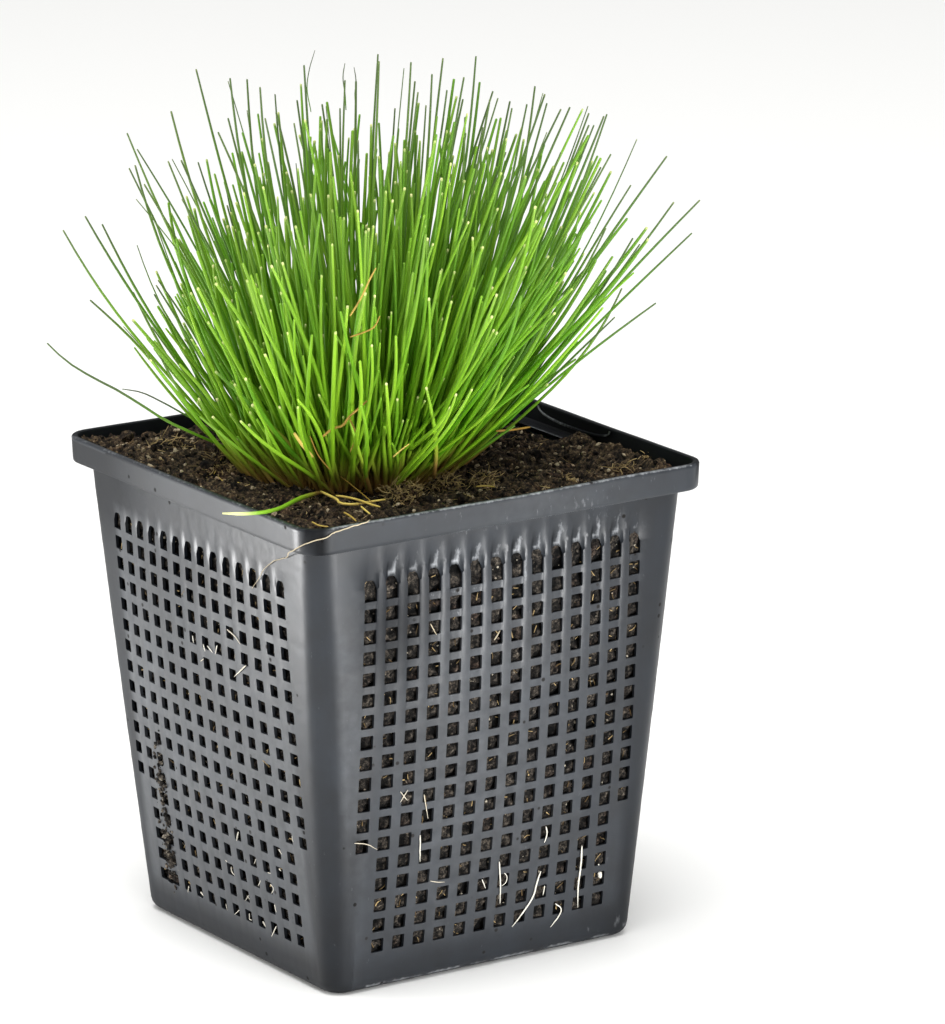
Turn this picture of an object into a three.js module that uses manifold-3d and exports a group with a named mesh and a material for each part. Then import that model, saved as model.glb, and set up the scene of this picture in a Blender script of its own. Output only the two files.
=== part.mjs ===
// Fiber optic grass in a square mesh pot, in millimetres, with +Z up.
// The origin is the middle of the pot's flat underside, which stands on the plane z = 0.
// The pot's front wall faces -Y, and its left wall faces -X.
import * as THREE from "three";
import { mergeGeometries, mergeVertices } from "three/addons/utils/BufferGeometryUtils.js";
import Module from "manifold-3d";

const wasm = await Module();
wasm.setup();

// Pot: a tapered square basket under a wider rim band.
const potHeight = 95;
const rimWidth = 90;
const rimHeight = 5.2;
const rimCorner = 5.3;
const rimThickness = 1.3;
const rimDraft = 0.2;
const shoulderWidth = 84;
const baseWidth = 69;
const bodyCorner = 5;
const wall = 1.2;
const floorThickness = 1.6;
const bulgeDepth = 2.6;
const bulgeSpan = 104;

// Mesh: every window stands for a block of small square holes.
const holePitchAcross = 4.56;
const holePitchUp = 4.166;
const holeSize = 3;
const archRise = 2;
const holeColumns = 14;
const shortColumnRows = 13;
const topRowHeight = 80;
const blockColumns = 2;
const blockStarts = [0, 4, 9, 13, 18];
const barWidth = 2.4;
const windowDepth = 6;
const bodyKnee = 44.6;

// Square drain holes in the floor, around a closed middle.
const drainSize = 6;
const drainPitch = 17;

// Soil: a lumpy block that sinks towards the right-hand wall.
const gap = 0.3;
const soilLevel = 89.3;
const soilFall = 0.045;
const soilLump = 0.55;
const soilGrid = 8;
const crownLevel = 89.6;
const plantingRadius = 24;
const plantingEdge = 7;

// Grass: tufts packed in a spiral, leaning further out towards the edge of the clump.
const tuftCount = 37;
const tuftSpread = 3.3;
const tuftRadius = 2.75;
const stemRing = 1.6;
const stemSink = 0.1;
const leastRise = 0.3;
const tuftHeight = 2.4;
const stemsAround = 6;
const clumpRadius = 22;
const goldenAngle = Math.PI * (3 - Math.sqrt(5));
const greatestLean = THREE.MathUtils.degToRad(60);
const leanPower = 0.9;
const stemLength = 84;
const edgeStemLength = 66;
const shortestShare = 0.66;
const stemBaseRadius = 0.66;
const stemTipRadius = 0.46;
const stemStartLean = 0.72;
const stemSides = 3;
const stemSteps = 2;

// Single stems around the foot of the clump, low over the soil.
const outerStems = 12;
const outerStemRadius = 23.2;
const outerStemLean = THREE.MathUtils.degToRad(66);
const outerStemLength = 58;
const outerStemShortest = 0.8;
const outerStemSides = 4;
const outerStemSteps = 3;
const outerStemTurn = 0.5;
const outerStemScatter = 0.35;

// The direction of the view in which the outline of the clump was read off, round +Z from the front.
const viewTurn = THREE.MathUtils.degToRad(-33.2);

// Tips of the stems that give the clump its outline, each as [right, up from the soil, nearer].
const outlineTips = [
  [-60.6, 47, 4],
  [-56.8, 50, -8],
  [-55.7, 34, 10],
  [-48.7, 67, 6],
  [-48.3, 60, -10],
  [-40.5, 71, -4],
  [-35.5, 79, -12],
  [-29.2, 78, 4],
  [-26, 77, -16],
  [-20.5, 74, 10],
  [-15.1, 80, 2],
  [-7.3, 81, -8],
  [-1.1, 82, 4],
  [5.3, 81, -6],
  [11.4, 81, 6],
  [17.8, 82, -4],
  [21, 75, 10],
  [28.9, 76, -8],
  [35.5, 72, 2],
  [39, 72, -14],
  [42.8, 70, -6],
  [43.3, 63, 12],
  [54, 62, -4],
  [47.3, 57, 8],
  [55.5, 53, -10],
  [60.4, 53, 0],
  [58.9, 47, 9],
];

// One stem lies loose across the soil and sticks out over the left rim.
const looseStemRadius = 0.6;
const looseStemTipRadius = 0.48;
const looseStemSides = 6;
const looseStemSteps = 9;
const looseStemPath = [
  [-20.9, -17.7, 91.4],
  [-23.1, -16, 93.2],
  [-30.2, -20.1, 95],
  [-39.6, -26.8, 96.1],
  [-47.5, -29.4, 96.2],
  [-52, -27.4, 95.6],
];

// A closed geometry as a solid that can be joined and cut.
function solidOf(geometry) {
  const bare = new THREE.BufferGeometry();
  const source = geometry.index ? geometry.toNonIndexed() : geometry;
  bare.setAttribute("position", source.getAttribute("position"));
  const merged = mergeVertices(bare, 1e-4);
  return new wasm.Manifold(
    new wasm.Mesh({
      numProp: 3,
      vertProperties: new Float32Array(merged.attributes.position.array),
      triVerts: new Uint32Array(merged.index.array),
    }),
  );
}

function geometryOf(solid) {
  const mesh = solid.getMesh();
  const geometry = new THREE.BufferGeometry();
  geometry.setAttribute("position", new THREE.BufferAttribute(mesh.vertProperties, 3));
  geometry.setIndex(new THREE.BufferAttribute(mesh.triVerts, 1));
  geometry.computeVertexNormals();
  return geometry;
}

// Moves every vertex of a geometry by a function that changes the point it is given.
function moveVertices(geometry, move) {
  const position = geometry.getAttribute("position");
  const point = new THREE.Vector3();
  for (let i = 0; i < position.count; i++) {
    point.fromBufferAttribute(position, i);
    move(point);
    position.setXYZ(i, point.x, point.y, point.z);
  }
  return geometry;
}

// A repeatable number from 0 to 1 for a stem and a purpose.
function scatter(index, purpose) {
  const mixed = Math.sin(index * 12.9898 + purpose * 78.233) * 43758.5453;
  return mixed - Math.floor(mixed);
}

function polygon(sides, radius) {
  const centre = new THREE.Vector2();
  const corner = (i) => new THREE.Vector2(radius, 0).rotateAround(centre, (2 * Math.PI * i) / sides);
  return new THREE.Shape(Array.from({ length: sides }, (_, i) => corner(i)));
}

// Pot outline: a square with round corners, and points along its sides for the bulge.
function roundedSquare(half, corner, sideSteps, cornerSteps) {
  const points = [];
  const flat = half - corner;
  const centre = new THREE.Vector2();
  for (let side = 0; side < 4; side++) {
    const turn = (side * Math.PI) / 2;
    for (let i = 1; i < sideSteps; i++) {
      const point = new THREE.Vector2(half, -flat + (2 * flat * i) / sideSteps);
      points.push(point.rotateAround(centre, turn));
    }
    for (let i = 0; i <= cornerSteps; i++) {
      const angle = (Math.PI / 2) * (i / cornerSteps);
      const point = new THREE.Vector2(flat + corner * Math.cos(angle), flat + corner * Math.sin(angle));
      points.push(point.rotateAround(centre, turn));
    }
  }
  return new THREE.Shape(points);
}

// A straight block that passes through the given levels, lowest first.
function extrude(shape, levels) {
  const steps = levels.length - 1;
  const block = new THREE.ExtrudeGeometry(shape, { depth: steps, steps, bevelEnabled: false });
  return moveVertices(block, (point) => {
    point.z = levels[Math.round(point.z)];
  });
}

const shoulder = potHeight - rimHeight;
const bodyHalf = (z) => THREE.MathUtils.lerp(baseWidth, shoulderWidth, z / shoulder) / 2;
const bulgeAt = (z) => bulgeDepth * Math.sin((Math.PI * z) / bulgeSpan);
const wallPush = (across, half, z) => bulgeAt(z) * (1 - (across / half) ** 2);

// Tapers a straight block that was drawn at the shoulder's width, and bows its walls outwards.
function taperAndBulge(point) {
  const scale = bodyHalf(point.z) / (shoulderWidth / 2);
  const x = point.x * scale;
  const y = point.y * scale;
  const far = Math.max(Math.abs(x), Math.abs(y));
  const near = Math.min(Math.abs(x), Math.abs(y));
  const push = far > 1 ? wallPush(near, far, point.z) : 0;
  point.x = x + (Math.abs(x) >= Math.abs(y) ? Math.sign(x) * push : 0);
  point.y = y + (Math.abs(x) < Math.abs(y) ? Math.sign(y) * push : 0);
}

function bodyBlock(inset, bottom, top) {
  const shape = roundedSquare(shoulderWidth / 2 - inset, bodyCorner - inset, 2, 2);
  return solidOf(moveVertices(extrude(shape, [bottom, bodyKnee, top]), taperAndBulge));
}

// One window of the mesh, as a box through the front wall, for a block of columns and rows.
function windowBox(firstColumn, lastColumn, firstRow, lastRow) {
  const across = (column) => (column - (holeColumns - 1) / 2) * holePitchAcross;
  const up = (row) => topRowHeight - row * holePitchUp;
  const left = across(firstColumn - 0.5) + barWidth / 2;
  const right = across(lastColumn + 0.5) - barWidth / 2;
  const low = up(lastRow + 0.5) + barWidth / 2;
  const high = firstRow === 0 ? up(0) + holeSize / 2 + archRise : up(firstRow - 0.5) - barWidth / 2;
  const middleUp = (low + high) / 2;
  const middleAcross = (left + right) / 2;
  const outside = bodyHalf(middleUp) + wallPush(middleAcross, bodyHalf(middleUp), middleUp);
  const box = new THREE.BoxGeometry(right - left, windowDepth, high - low);
  return box.translate(middleAcross, wall / 2 - outside, middleUp);
}

// The outermost columns of holes are short, so the lowest windows beside them are narrow.
function meshWindows() {
  const boxes = [];
  for (let block = 0; block < blockStarts.length - 1; block++) {
    const firstRow = blockStarts[block];
    const lastRow = blockStarts[block + 1] - 1;
    const short = firstRow >= shortColumnRows ? 1 : 0;
    for (let column = 0; column < holeColumns; column += blockColumns) {
      const first = Math.max(column, short);
      const last = Math.min(column + blockColumns - 1, holeColumns - 1 - short);
      boxes.push(windowBox(first, last, firstRow, lastRow));
    }
  }
  const front = mergeGeometries(boxes);
  const around = [0, 1, 2, 3].map((side) => front.clone().rotateZ((side * Math.PI) / 2));
  return solidOf(mergeGeometries(around));
}

function drainHoles() {
  const boxes = [];
  for (const x of [-1, 0, 1]) {
    for (const y of [-1, 0, 1]) {
      if (x === 0 && y === 0) continue;
      const box = new THREE.BoxGeometry(drainSize, drainSize, 4 * floorThickness);
      boxes.push(box.translate(x * drainPitch, y * drainPitch, floorThickness / 2));
    }
  }
  return solidOf(mergeGeometries(boxes));
}

function rimBlock(inset, bottom, top) {
  const shape = roundedSquare(rimWidth / 2 - inset, rimCorner - inset, 1, 3);
  const narrow = (point) => {
    const scale = 1 - ((potHeight - point.z) / rimHeight) * (rimDraft / (rimWidth / 2));
    point.x *= scale;
    point.y *= scale;
  };
  return solidOf(moveVertices(extrude(shape, [bottom, top]), narrow));
}

function potGeometry() {
  const outside = bodyBlock(0, 0, shoulder + wall / 2).add(rimBlock(0, shoulder, potHeight));
  const cavity = bodyBlock(wall, floorThickness, shoulder + wall + gap);
  const rimCavity = rimBlock(rimThickness, shoulder + wall, potHeight + wall);
  const shell = outside.subtract(cavity).subtract(rimCavity);
  return geometryOf(shell.subtract(meshWindows()).subtract(drainHoles()));
}

// Height of the soil: sloping, lumpy, and level where the plant stands.
function soilTop(x, y) {
  const lumps = Math.sin(0.31 * x + 1.3) * Math.cos(0.27 * y) + 0.7 * Math.sin(0.52 * y - 0.4 * x);
  const open = soilLevel - soilFall * x + soilLump * lumps;
  const share = THREE.MathUtils.smoothstep(Math.hypot(x, y), plantingRadius, plantingRadius + plantingEdge);
  return THREE.MathUtils.lerp(crownLevel, open, share);
}

function soilGeometry() {
  const slab = new THREE.BoxGeometry(rimWidth, rimWidth, potHeight, soilGrid, soilGrid, 1);
  moveVertices(slab, (point) => {
    point.z = point.z > 0 ? soilTop(point.x, point.y) : 0;
  });
  const block = bodyBlock(wall + gap, floorThickness + gap, shoulder + wall - gap);
  return geometryOf(solidOf(slab).intersect(block));
}

// A stem: a thin prism drawn along a curve and tapered towards its tip.
// Its sections all face along a given direction, or each along the curve where none is given.
function stemGeometry(curve, baseRadius, tipRadius, sides, steps, facing) {
  const levels = Array.from({ length: steps + 1 }, (_, i) => i / steps);
  const start = curve.getTangent(0);
  const across = new THREE.Vector3(start.y, -start.x, 0);
  if (across.length() < 0.01) across.set(1, 0, 0);
  return moveVertices(extrude(polygon(sides, 1), levels), (point) => {
    const along = THREE.MathUtils.clamp(point.z, 0, 1);
    const ahead = facing ?? curve.getTangent(along);
    const sideways = across.clone().addScaledVector(ahead, -across.dot(ahead)).normalize();
    const other = new THREE.Vector3().crossVectors(ahead, sideways);
    const radius = THREE.MathUtils.lerp(baseRadius, tipRadius, along);
    const centre = curve.getPoint(along);
    centre.addScaledVector(sideways, radius * point.x);
    centre.addScaledVector(other, radius * point.y);
    point.copy(centre);
  });
}

const leanAt = (radius) => greatestLean * Math.min(1, radius / clumpRadius) ** leanPower;
const reachAt = (radius) => THREE.MathUtils.lerp(stemLength, edgeStemLength, radius / clumpRadius);

// Where a stem that starts at a root ends, for its lean away from the clump's middle and its length.
function tipOf(root, lean, length) {
  const turn = Math.atan2(root.y, root.x);
  const out = length * Math.sin(lean);
  return new THREE.Vector3(
    root.x + out * Math.cos(turn),
    root.y + out * Math.sin(turn),
    root.z + length * Math.cos(lean),
  );
}

// A stem starts more upright than it ends, so it arches outwards.
function stemCurve(root, tip) {
  const rise = tip.z - root.z;
  const knee = new THREE.Vector3(
    root.x + (tip.x - root.x) * 0.5 * stemStartLean,
    root.y + (tip.y - root.y) * 0.5 * stemStartLean,
    root.z + rise * 0.5,
  );
  return new THREE.QuadraticBezierCurve3(root, knee, tip);
}

function plantStems() {
  const tufts = [];
  for (let i = 0; i < tuftCount; i++) {
    const radius = tuftSpread * Math.sqrt(i + 0.4);
    const centre = new THREE.Vector3(
      radius * Math.cos(i * goldenAngle),
      radius * Math.sin(i * goldenAngle),
      crownLevel + gap,
    );
    const stems = [];
    for (let j = 0; j <= stemsAround; j++) {
      const ring = j === 0 ? 0 : stemRing;
      const angle = i + (2 * Math.PI * j) / stemsAround;
      const root = centre.clone();
      root.x += ring * Math.cos(angle);
      root.y += ring * Math.sin(angle);
      root.z += tuftHeight;
      const out = Math.hypot(root.x, root.y);
      const share = shortestShare + (1 - shortestShare) * scatter(i * 10 + j, 1);
      stems.push({ root, tip: tipOf(root, leanAt(out), reachAt(out) * share) });
    }
    tufts.push({ centre, turn: i, stems });
  }
  return tufts;
}

// Draws the stem that already points closest to each outline tip out to that tip.
function reachOutline(tufts) {
  const right = new THREE.Vector3(Math.cos(viewTurn), Math.sin(viewTurn), 0);
  const nearer = new THREE.Vector3(Math.sin(viewTurn), -Math.cos(viewTurn), 0);
  const free = new Set(tufts.flatMap((tuft) => tuft.stems));
  for (const [across, up, depth] of outlineTips) {
    const tip = new THREE.Vector3(0, 0, crownLevel + up);
    tip.addScaledVector(right, across).addScaledVector(nearer, depth);
    let best = null;
    let least = Infinity;
    for (const stem of free) {
      const lean = leanAt(Math.hypot(stem.root.x, stem.root.y));
      const miss = tipOf(stem.root, lean, tip.distanceTo(stem.root)).distanceTo(tip);
      if (miss < least) {
        least = miss;
        best = stem;
      }
    }
    best.tip = tip;
    free.delete(best);
  }
}

// One tuft: a low crown with its stems growing out of it as one piece.
// A stem is drawn from below the crown's top, deep enough for the whole of its lowest section.
function tuftGeometry(tuft) {
  const crown = extrude(polygon(stemsAround, tuftRadius), [0, tuftHeight]);
  crown.rotateZ(tuft.turn).translate(tuft.centre.x, tuft.centre.y, tuft.centre.z);
  let solid = solidOf(crown);
  for (const stem of tuft.stems) {
    const aim = stem.tip.clone().sub(stem.root).normalize();
    const start = stemCurve(stem.root, stem.tip).getTangent(0);
    const sink = (stemSink + stemBaseRadius * Math.hypot(aim.x, aim.y)) / Math.max(start.z, leastRise);
    const curve = stemCurve(stem.root.clone().addScaledVector(start, -sink), stem.tip);
    const stemSolid = stemGeometry(curve, stemBaseRadius, stemTipRadius, stemSides, stemSteps, aim);
    solid = solid.add(solidOf(stemSolid));
  }
  return geometryOf(solid);
}

function outerStemCurve(index) {
  const place = index + outerStemTurn + outerStemScatter * scatter(index, 3);
  const angle = (2 * Math.PI * place) / outerStems;
  const root = new THREE.Vector3(Math.cos(angle), Math.sin(angle), 0).multiplyScalar(outerStemRadius);
  root.z = crownLevel + gap + stemBaseRadius;
  const length = outerStemLength * THREE.MathUtils.lerp(outerStemShortest, 1, scatter(index, 4));
  return stemCurve(root, tipOf(root, outerStemLean, length));
}

function looseStemGeometry() {
  const path = new THREE.CatmullRomCurve3(looseStemPath.map((point) => new THREE.Vector3(...point)));
  return stemGeometry(path, looseStemRadius, looseStemTipRadius, looseStemSides, looseStemSteps);
}

// Colours as they look in plain daylight.
const materials = {
  plastic: new THREE.MeshStandardMaterial({ color: 0x4a4c50, roughness: 0.5, metalness: 0 }),
  peat: new THREE.MeshStandardMaterial({ color: 0x2c2019, roughness: 0.95, metalness: 0 }),
  stem: new THREE.MeshStandardMaterial({ color: 0x57992b, roughness: 0.55, metalness: 0 }),
  paleStem: new THREE.MeshStandardMaterial({ color: 0x7fb53c, roughness: 0.55, metalness: 0 }),
};

const object = new THREE.Group();
const numbered = (name, index) => name + String(index + 1).padStart(2, "0");

function addPiece(name, geometry, material) {
  const mesh = new THREE.Mesh(geometry, material.clone());
  mesh.name = name;
  object.add(mesh);
}

addPiece("mesh_pot", potGeometry(), materials.plastic);
addPiece("soil", soilGeometry(), materials.peat);

const tufts = plantStems();
reachOutline(tufts);
tufts.forEach((tuft, i) => {
  addPiece(numbered("tuft_", i), tuftGeometry(tuft), materials.stem);
});

for (let i = 0; i < outerStems; i++) {
  const curve = outerStemCurve(i);
  const geometry = stemGeometry(curve, stemBaseRadius, stemTipRadius, outerStemSides, outerStemSteps);
  addPiece(numbered("outer_stem_", i), geometry, materials.stem);
}

addPiece("loose_stem", looseStemGeometry(), materials.paleStem);

export default object;
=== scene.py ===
import math

import bpy
import numpy as np
from mathutils import Matrix, Vector, noise


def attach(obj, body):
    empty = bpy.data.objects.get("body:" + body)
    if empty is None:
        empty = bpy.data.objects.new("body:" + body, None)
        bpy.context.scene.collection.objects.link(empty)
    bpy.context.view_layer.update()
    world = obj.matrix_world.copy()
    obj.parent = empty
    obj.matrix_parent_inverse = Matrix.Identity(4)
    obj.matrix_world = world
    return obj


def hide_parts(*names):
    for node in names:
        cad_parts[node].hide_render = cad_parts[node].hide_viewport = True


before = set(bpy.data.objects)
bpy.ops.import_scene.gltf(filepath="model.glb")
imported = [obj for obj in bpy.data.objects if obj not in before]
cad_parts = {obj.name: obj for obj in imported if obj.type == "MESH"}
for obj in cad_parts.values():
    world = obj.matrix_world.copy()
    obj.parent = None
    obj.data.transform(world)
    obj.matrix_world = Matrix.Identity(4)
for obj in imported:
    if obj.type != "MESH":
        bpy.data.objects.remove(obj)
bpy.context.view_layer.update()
print("frame loaded:", len(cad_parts), "solids")

mm = 0.001  # shapes are worked out in millimetres and scaled once, when a mesh is made
dice = np.random.default_rng(7)


# Colours, nodes and materials

def hexColour(code):  # sRGB hex to the linear values a shader wants
    channels = [int(code[i:i + 2], 16) / 255 for i in (1, 3, 5)]
    return [c / 12.92 if c <= 0.04045 else ((c + 0.055) / 1.055) ** 2.4 for c in channels] + [1]


def perSize(size):  # texture scale for a feature of this many millimetres
    return 1 / (size * mm)


def addNode(tree, kind, settings={}, links={}):  # a link comes from a socket, or from a node's first one
    node = tree.nodes.new("ShaderNode" + kind)
    for name, value in settings.items():
        if name == "stops":
            ramp = node.color_ramp
            while len(ramp.elements) < len(value):
                ramp.elements.new(0.5)
            for element, (place, colour) in zip(ramp.elements, value):
                element.position = place
                element.color = hexColour(colour)
        elif isinstance(name, str) and hasattr(node, name):
            setattr(node, name, value)
        else:
            node.inputs[name].default_value = value
    for name, source in links.items():
        tree.links.new(getattr(source, "outputs", [source])[0], node.inputs[name])
    return node


def newMaterial(name, settings, *pointValues):  # with sockets for the place and for each point value
    material = bpy.data.materials.new(name)
    material.use_nodes = True
    tree = material.node_tree
    shader = tree.nodes["Principled BSDF"]
    for socket, value in settings.items():
        shader.inputs[socket].default_value = value
    sockets = [addNode(tree, "TexCoord").outputs["Object"]]
    for value in pointValues:
        sockets.append(addNode(tree, "Attribute", {"attribute_name": value}).outputs["Fac"])
    return material, tree, shader, sockets


# Injection-moulded recycled polypropylene: a dark satin blue-grey, with dull scuffs, specks of soil and a
# pale haze, with painted highlights over the arches and painted shade in the hollows and low on the walls.
def mouldedPlastic():
    material, tree, shader, (place, bloom, wear, grime) = newMaterial(
        "mouldedPolypropylene", {"IOR": 1.49, "Metallic": 0}, "bloom", "wear", "grime")
    cloud = addNode(tree, "TexNoise", {"Scale": perSize(9), "Detail": 6, "Roughness": 0.6},
                    {"Vector": place})
    tone = addNode(tree, "ValToRGB", {"stops": [(0.3, "#10141a"), (0.7, "#1a2028")]}, {"Fac": cloud})
    # Pale haze: a thin pale grey haze mixed into the bars' colour.
    paleGrey = hexColour("#adb0b4")
    ripple = addNode(tree, "TexNoise", {"Scale": perSize(2.2), "Detail": 5}, {"Vector": place})
    uneven = addNode(tree, "MapRange", {"From Min": 0.3, "From Max": 0.7, "To Min": 0.6, "To Max": 1.4},
                     {"Value": ripple})
    haze = addNode(tree, "Math", {"operation": "MULTIPLY"}, {0: uneven, 1: bloom})
    hazed = addNode(tree, "Mix", {"data_type": "RGBA", 7: paleGrey}, {0: haze, 6: tone})
    # Wear and painted highlights: pale streaks, rubbed along the foot, a pale line on the rim, and painted
    # highlights over the front arches, on the upper bars and inside the rim.
    upright = addNode(tree, "Mapping", {"Scale": (1, 1, 0.35)}, {"Vector": place})
    grit = addNode(tree, "TexNoise", {"Scale": perSize(0.9), "Detail": 5, "Roughness": 0.7},
                   {"Vector": upright})
    streaks = addNode(tree, "Math", {"operation": "MULTIPLY_ADD", 1: 1.3, 2: -0.86}, {0: grit})
    markStrength = addNode(tree, "Math", {"operation": "ADD"}, {0: streaks, 1: wear})
    rubbedAndLit = addNode(tree, "MapRange", {"From Min": 0, "From Max": 0.8}, {"Value": markStrength})
    paler = addNode(tree, "Mix", {"data_type": "RGBA", 7: paleGrey}, {0: rubbedAndLit, 6: hazed.outputs[2]})
    # Painted shade: near black inside the rim and beside each flute, and a darker, less glossy film low on
    # the walls.
    shadeMixed = addNode(tree, "Mix", {"data_type": "RGBA", 7: hexColour("#050506")},
                      {0: grime, 6: paler.outputs[2]})
    # Specks of damp soil, up to a millimetre wide.
    speck = addNode(tree, "TexVoronoi", {"Scale": perSize(4.4), "Randomness": 1}, {"Vector": place})
    spot = addNode(tree, "MapRange", {"From Min": 0.11, "From Max": 0.07}, {"Value": speck})
    few = addNode(tree, "TexNoise", {"Scale": perSize(17)}, {"Vector": place})
    gate = addNode(tree, "MapRange", {"From Min": 0.47, "From Max": 0.52}, {"Value": few})
    spots = addNode(tree, "Math", {"operation": "MULTIPLY"}, {0: spot, 1: gate})
    specked = addNode(tree, "Mix", {"data_type": "RGBA", 7: hexColour("#0d0b0a")},
                      {0: spots, 6: shadeMixed.outputs[2]})
    tree.links.new(specked.outputs[2], shader.inputs["Base Color"])
    # Satin: smooth enough to carry a soft sheen, duller where it is scuffed, where soil specks it and where
    # shade is painted, and less glossy under the painted shade.
    dull = addNode(tree, "MapRange", {"To Min": 0.28, "To Max": 0.44}, {"Value": cloud})
    for share, source in ((0.3, rubbedAndLit), (0.5, spots), (0.35, grime)):
        dull = addNode(tree, "Math", {"operation": "MULTIPLY_ADD", 1: share}, {0: source, 2: dull})
    tree.links.new(dull.outputs[0], shader.inputs["Roughness"])
    film = addNode(tree, "Math", {"operation": "MULTIPLY_ADD", 1: -0.45, 2: 0.5}, {0: grime})
    tree.links.new(film.outputs[0], shader.inputs["Specular IOR Level"])
    # The moulding's slight unevenness.
    bump = addNode(tree, "Bump", {"Strength": 0.14, "Distance": 0.2 * mm}, {"Height": ripple})
    tree.links.new(bump.outputs[0], shader.inputs["Normal"])
    return material


# Damp fibrous peat: chocolate on the crumbs of the top, with painted shade that turns it near black in the
# hollows, and a greyer brown where roots have matted it behind the mesh, with no shine.
def dampPeat(name, grainSize, stops):
    settings = {"IOR": 1.4, "Roughness": 0.92, "Specular IOR Level": 0.25}
    material, tree, shader, (place, tone) = newMaterial(name, settings, "tone")
    crumb = addNode(tree, "TexNoise", {"Scale": perSize(grainSize), "Detail": 7, "Roughness": 0.75},
                    {"Vector": place})
    patch = addNode(tree, "TexNoise", {"Scale": perSize(5), "Detail": 4}, {"Vector": place})
    # The colour follows the crumbs' bump: its low parts are painted darker, as painted shade.
    grain = addNode(tree, "MapRange", {"From Min": 0.36, "From Max": 0.66, "To Min": -0.1, "To Max": 0.5},
                    {"Value": crumb})
    blend = addNode(tree, "Math", {"operation": "ADD"}, {0: grain, 1: tone})
    ramp = addNode(tree, "ValToRGB", {"stops": stops}, {"Fac": blend})
    red = addNode(tree, "MapRange", {"From Min": 0.54, "From Max": 0.72, "To Max": 0.5}, {"Value": patch})
    colour = addNode(tree, "Mix", {"data_type": "RGBA", "blend_type": "MULTIPLY", 7: hexColour("#d89a80")},
                     {0: red, 6: ramp})
    tree.links.new(colour.outputs[2], shader.inputs["Base Color"])
    bump = addNode(tree, "Bump", {"Strength": 1.0, "Distance": 0.6 * mm}, {"Height": crumb})
    tree.links.new(bump.outputs[0], shader.inputs["Normal"])
    return material


# Living sedge stem: waxy green, lime on some and duller on others, partly at random and partly as painted
# light, greyer towards the tip on some, brown at the foot, often with a cream bud at its tip.
def livingStem():
    settings = {"IOR": 1.45, "Roughness": 0.48, "Specular IOR Level": 0.25}
    material, tree, shader, (place, along, tone, bud, dusk, height) = newMaterial(
        "livingSedgeStem", settings, "along", "tone", "bud", "dusk", "height")
    fresh = addNode(tree, "ValToRGB", {"stops": [(0, "#3e690a"), (0.45, "#4a800b"), (1, "#62961f")]},
                    {"Fac": along})
    bright = addNode(tree, "ValToRGB", {"stops": [(0, "#7aa81f"), (0.55, "#80ae24"), (1, "#8ebb34")]},
                     {"Fac": along})
    mixed = addNode(tree, "Mix", {"data_type": "RGBA"}, {0: tone, 6: fresh, 7: bright})
    greyed = addNode(tree, "Mix", {"data_type": "RGBA", 7: hexColour("#4a573b")},
                     {0: dusk, 6: mixed.outputs[2]})
    tipped = addNode(tree, "Mix", {"data_type": "RGBA", 7: hexColour("#dedc9c")},
                     {0: bud, 6: greyed.outputs[2]})
    # The lowest stretch goes from brown at the soil through olive to the stem's own green.
    foot = addNode(tree, "MapRange", {"From Min": 5 * mm, "From Max": 16 * mm, "To Min": 1, "To Max": 0},
                   {"Value": height})
    earthy = addNode(tree, "ValToRGB", {"stops": [(0.35, "#a2af3a"), (1, "#a98648")]}, {"Fac": foot})
    footed = addNode(tree, "Mix", {"data_type": "RGBA"}, {0: foot, 6: tipped.outputs[2], 7: earthy})
    tree.links.new(footed.outputs[2], shader.inputs["Base Color"])
    ridge = addNode(tree, "TexNoise", {"Scale": perSize(2.5), "Detail": 2}, {"Vector": place})
    bump = addNode(tree, "Bump", {"Strength": 0.15, "Distance": 0.1 * mm}, {"Height": ridge})
    tree.links.new(bump.outputs[0], shader.inputs["Normal"])
    return material


# Dried stalks, roots and fibres: matt straw and cream, from dark to pale by the strand.
def dryFibre(name, dark, pale):
    settings = {"IOR": 1.45, "Roughness": 0.7, "Specular IOR Level": 0.2}
    material, tree, shader, (place, tone) = newMaterial(name, settings, "tone")
    ramp = addNode(tree, "ValToRGB", {"stops": [(0, dark), (1, pale)]}, {"Fac": tone})
    mottle = addNode(tree, "TexNoise", {"Scale": perSize(1.5), "Detail": 4}, {"Vector": place})
    shade = addNode(tree, "MapRange", {"To Min": 0.7, "To Max": 1.15}, {"Value": mottle})
    colour = addNode(tree, "VectorMath", {"operation": "SCALE"}, {0: ramp, "Scale": shade})
    tree.links.new(colour.outputs[0], shader.inputs["Base Color"])
    return material


# Meshes from arrays

def joinShapes(shapes):  # each shape is points, faces and values for each point
    points, faces, values, start = [], [], {}, 0
    names = sorted({name for shape in shapes for name in shape[2]})
    for shapePoints, shapeFaces, shapeValues in shapes:
        points.append(shapePoints)
        faces += [[corner + start for corner in face] for face in shapeFaces]
        for name in names:
            values.setdefault(name, []).append(shapeValues.get(name, np.zeros(len(shapePoints))))
        start += len(shapePoints)
    return np.concatenate(points), faces, {name: np.concatenate(parts) for name, parts in values.items()}


def makePiece(name, shape, material, nodes, crease=180):
    points, faces, values = shape
    mesh = bpy.data.meshes.new(name)
    mesh.from_pydata((points * mm).tolist(), [], faces)
    for key, numbers in values.items():
        mesh.attributes.new(key, "FLOAT", "POINT").data.foreach_set("value", numbers.astype(np.float32))
    mesh.materials.append(material)
    mesh.shade_smooth()
    mesh.set_sharp_from_angle(angle=math.radians(crease))
    piece = bpy.data.objects.new(name, mesh)
    bpy.context.scene.collection.objects.link(piece)
    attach(piece, "root")
    if nodes:
        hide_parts(*nodes)
    print(name, len(mesh.polygons), "faces")


def unit(vectors):
    return vectors / np.maximum(np.linalg.norm(vectors, axis=-1, keepdims=True), 1e-9)


def fade(values, start, end):  # from 0 at the start to 1 at the end
    return np.clip((values - start) / (end - start), 0, 1)


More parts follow.
